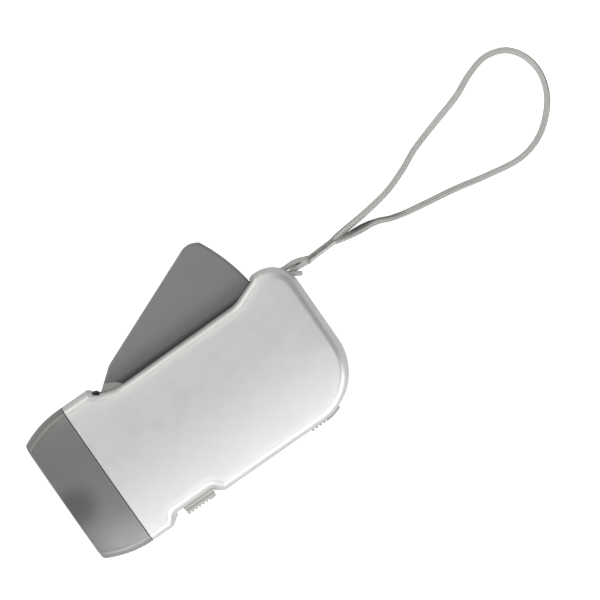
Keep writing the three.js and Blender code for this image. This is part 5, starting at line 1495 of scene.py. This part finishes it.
KEPT_NODES = {
    "lamp_board": board_green, "lever_pin": turned_steel, "lever_spring": turned_steel,
    "first_gear": gear_nylon, "second_gear": gear_nylon, "rotor_pinion": gear_nylon,
    "first_axle": turned_steel, "second_axle": turned_steel, "rotor_shaft": turned_steel,
    "rotor_flywheel": turned_steel, "rotor_magnet": ferrite_grey, "stator_core": laminated_iron,
    "coil_bobbin": gear_nylon, "coil_winding": enamelled_wire, "slide_switch": black_plastic,
    "battery_cell": turned_steel, "cell_contact_front": bright_tin, "cell_contact_back": bright_tin,
}
for node, finish in KEPT_NODES.items():
    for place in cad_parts[node].material_slots:
        place.material = finish
print("kept CAD nodes:", len(KEPT_NODES))

# %% [markdown]
# The anchor loop leaves the tail of the casing and its two ends are crimped in the tube; the wrist
# loop leaves the tube's other end and goes back into it. Both cords' real lengths are printed.

# %% Cords
print(f"declared: {wrist_length:.1f} mm and {anchor_length:.1f} mm of cord")

# %% [markdown]
# ## Floor and light
# The photograph has a white ground with hardly a shadow. The table is plain white. To the camera it
# also glows a little, so that its soft shadows stay near white, while the torch itself is lit by
# lamps and not by the table.

# %% Table
TABLE_HALF, TABLE_WHITE, TABLE_GLOW = 3, 0.72, 0.9
floor_mesh = bpy.data.meshes.new("table")
floor_corners = [(x * TABLE_HALF, y * TABLE_HALF, 0) for x, y in ((-1, -1), (1, -1), (1, 1), (-1, 1))]
floor_mesh.from_pydata(floor_corners, [], [(0, 1, 2, 3)])
floor = bpy.data.objects.new("table", floor_mesh)
bpy.context.collection.objects.link(floor)
white_table, table_tree, table_shader = blank_finish("white_table")
seen = new_node(table_tree, "ShaderNodeLightPath").outputs["Is Camera Ray"]
set_inputs(table_tree, table_shader, {
    "Base Color": (TABLE_WHITE, TABLE_WHITE, TABLE_WHITE, 1), "Roughness": 0.9,
    "Specular IOR Level": 0.1, "Emission Color": (1, 1, 1, 1),
    "Emission Strength": number_node(table_tree, "MULTIPLY", seen, TABLE_GLOW),
})
floor_mesh.materials.append(white_table)
print(f"table {2 * TABLE_HALF} m square")

# %% [markdown]
# A satin metal shows the lamps' places more than their strength. Low soft boxes stand along the
# switch edge and a high one over it, whose white runs up the face and fades past the middle. Warmer
# ones on the lever's side lift the face again under the lever, and low ones towards the head and
# beside the tail light the walls. Straight beyond the tail nothing stands low, which draws the dark
# line there. Each strength is set so that the face has the photograph's tones along its width.

# %% Soft boxes and surroundings
WHITE, WARM = (1, 1, 1), (1, 0.985, 0.94)
BOX, TALL_BOX, LONG_BOX = (0.8, 0.6), (0.8, 0.9), (1.2, 0.6)
LAMP_DISTANCE = 1.2
SOFT_BOXES = [
    ("switch_side_low", -90, 16, LONG_BOX, 1.7, WHITE),
    ("switch_side_middle", -90, 38, TALL_BOX, 1.7, WHITE),
    ("switch_side_high", -90, 65, BOX, 2.4, WHITE),
    ("switch_tail_low", -60, 16, LONG_BOX, 7.2, WHITE),
    ("switch_head_low", -125, 16, LONG_BOX, 4.0, WHITE),
    ("tail_high", -30, 64, BOX, 1.0, WHITE),
    ("head_low", 180, 16, LONG_BOX, 5.6, WHITE),
    ("head_high", 225, 64, BOX, 1.2, WHITE),
    ("lever_head_low", 120, 16, LONG_BOX, 3.6, WARM),
    ("lever_tail_low", 60, 24, BOX, 1.6, WARM),
    ("lever_side_low", 90, 16, BOX, 1.4, WARM),
    ("lever_side_middle", 90, 42, BOX, 0.6, WARM),
    ("lever_side_high", 90, 65, BOX, 1.8, WARM),
    ("lever_head_high", 120, 64, BOX, 0.6, WARM),
]


def soft_box(name, toward, lift, size, power, tint):
    """An area light in the direction toward (degrees in plan), lifted above the table."""
    light = bpy.data.lights.new(name, "AREA")
    light.shape, light.size, light.size_y = "RECTANGLE", *size
    light.energy, light.color = power, tint
    lamp = bpy.data.objects.new(name, light)
    bpy.context.collection.objects.link(lamp)
    direction = Vector((
        math.cos(math.radians(toward)) * math.cos(math.radians(lift)),
        math.sin(math.radians(toward)) * math.cos(math.radians(lift)),
        math.sin(math.radians(lift)),
    ))
    lamp.location = direction * LAMP_DISTANCE + Vector((0.01, 0, 0.01))
    lamp.rotation_euler = direction.to_track_quat("Z", "Y").to_euler()
    lamp.visible_camera = False
    return lamp


for values in SOFT_BOXES:
    soft_box(*values)

surroundings = bpy.data.worlds.new("studio")
surroundings.use_nodes = True
set_inputs(surroundings.node_tree, surroundings.node_tree.nodes["Background"],
           {"Color": (0.95, 0.97, 1.0, 1), "Strength": 0.12})
bpy.context.scene.world = surroundings
bpy.context.scene.view_settings.view_transform = "Standard"
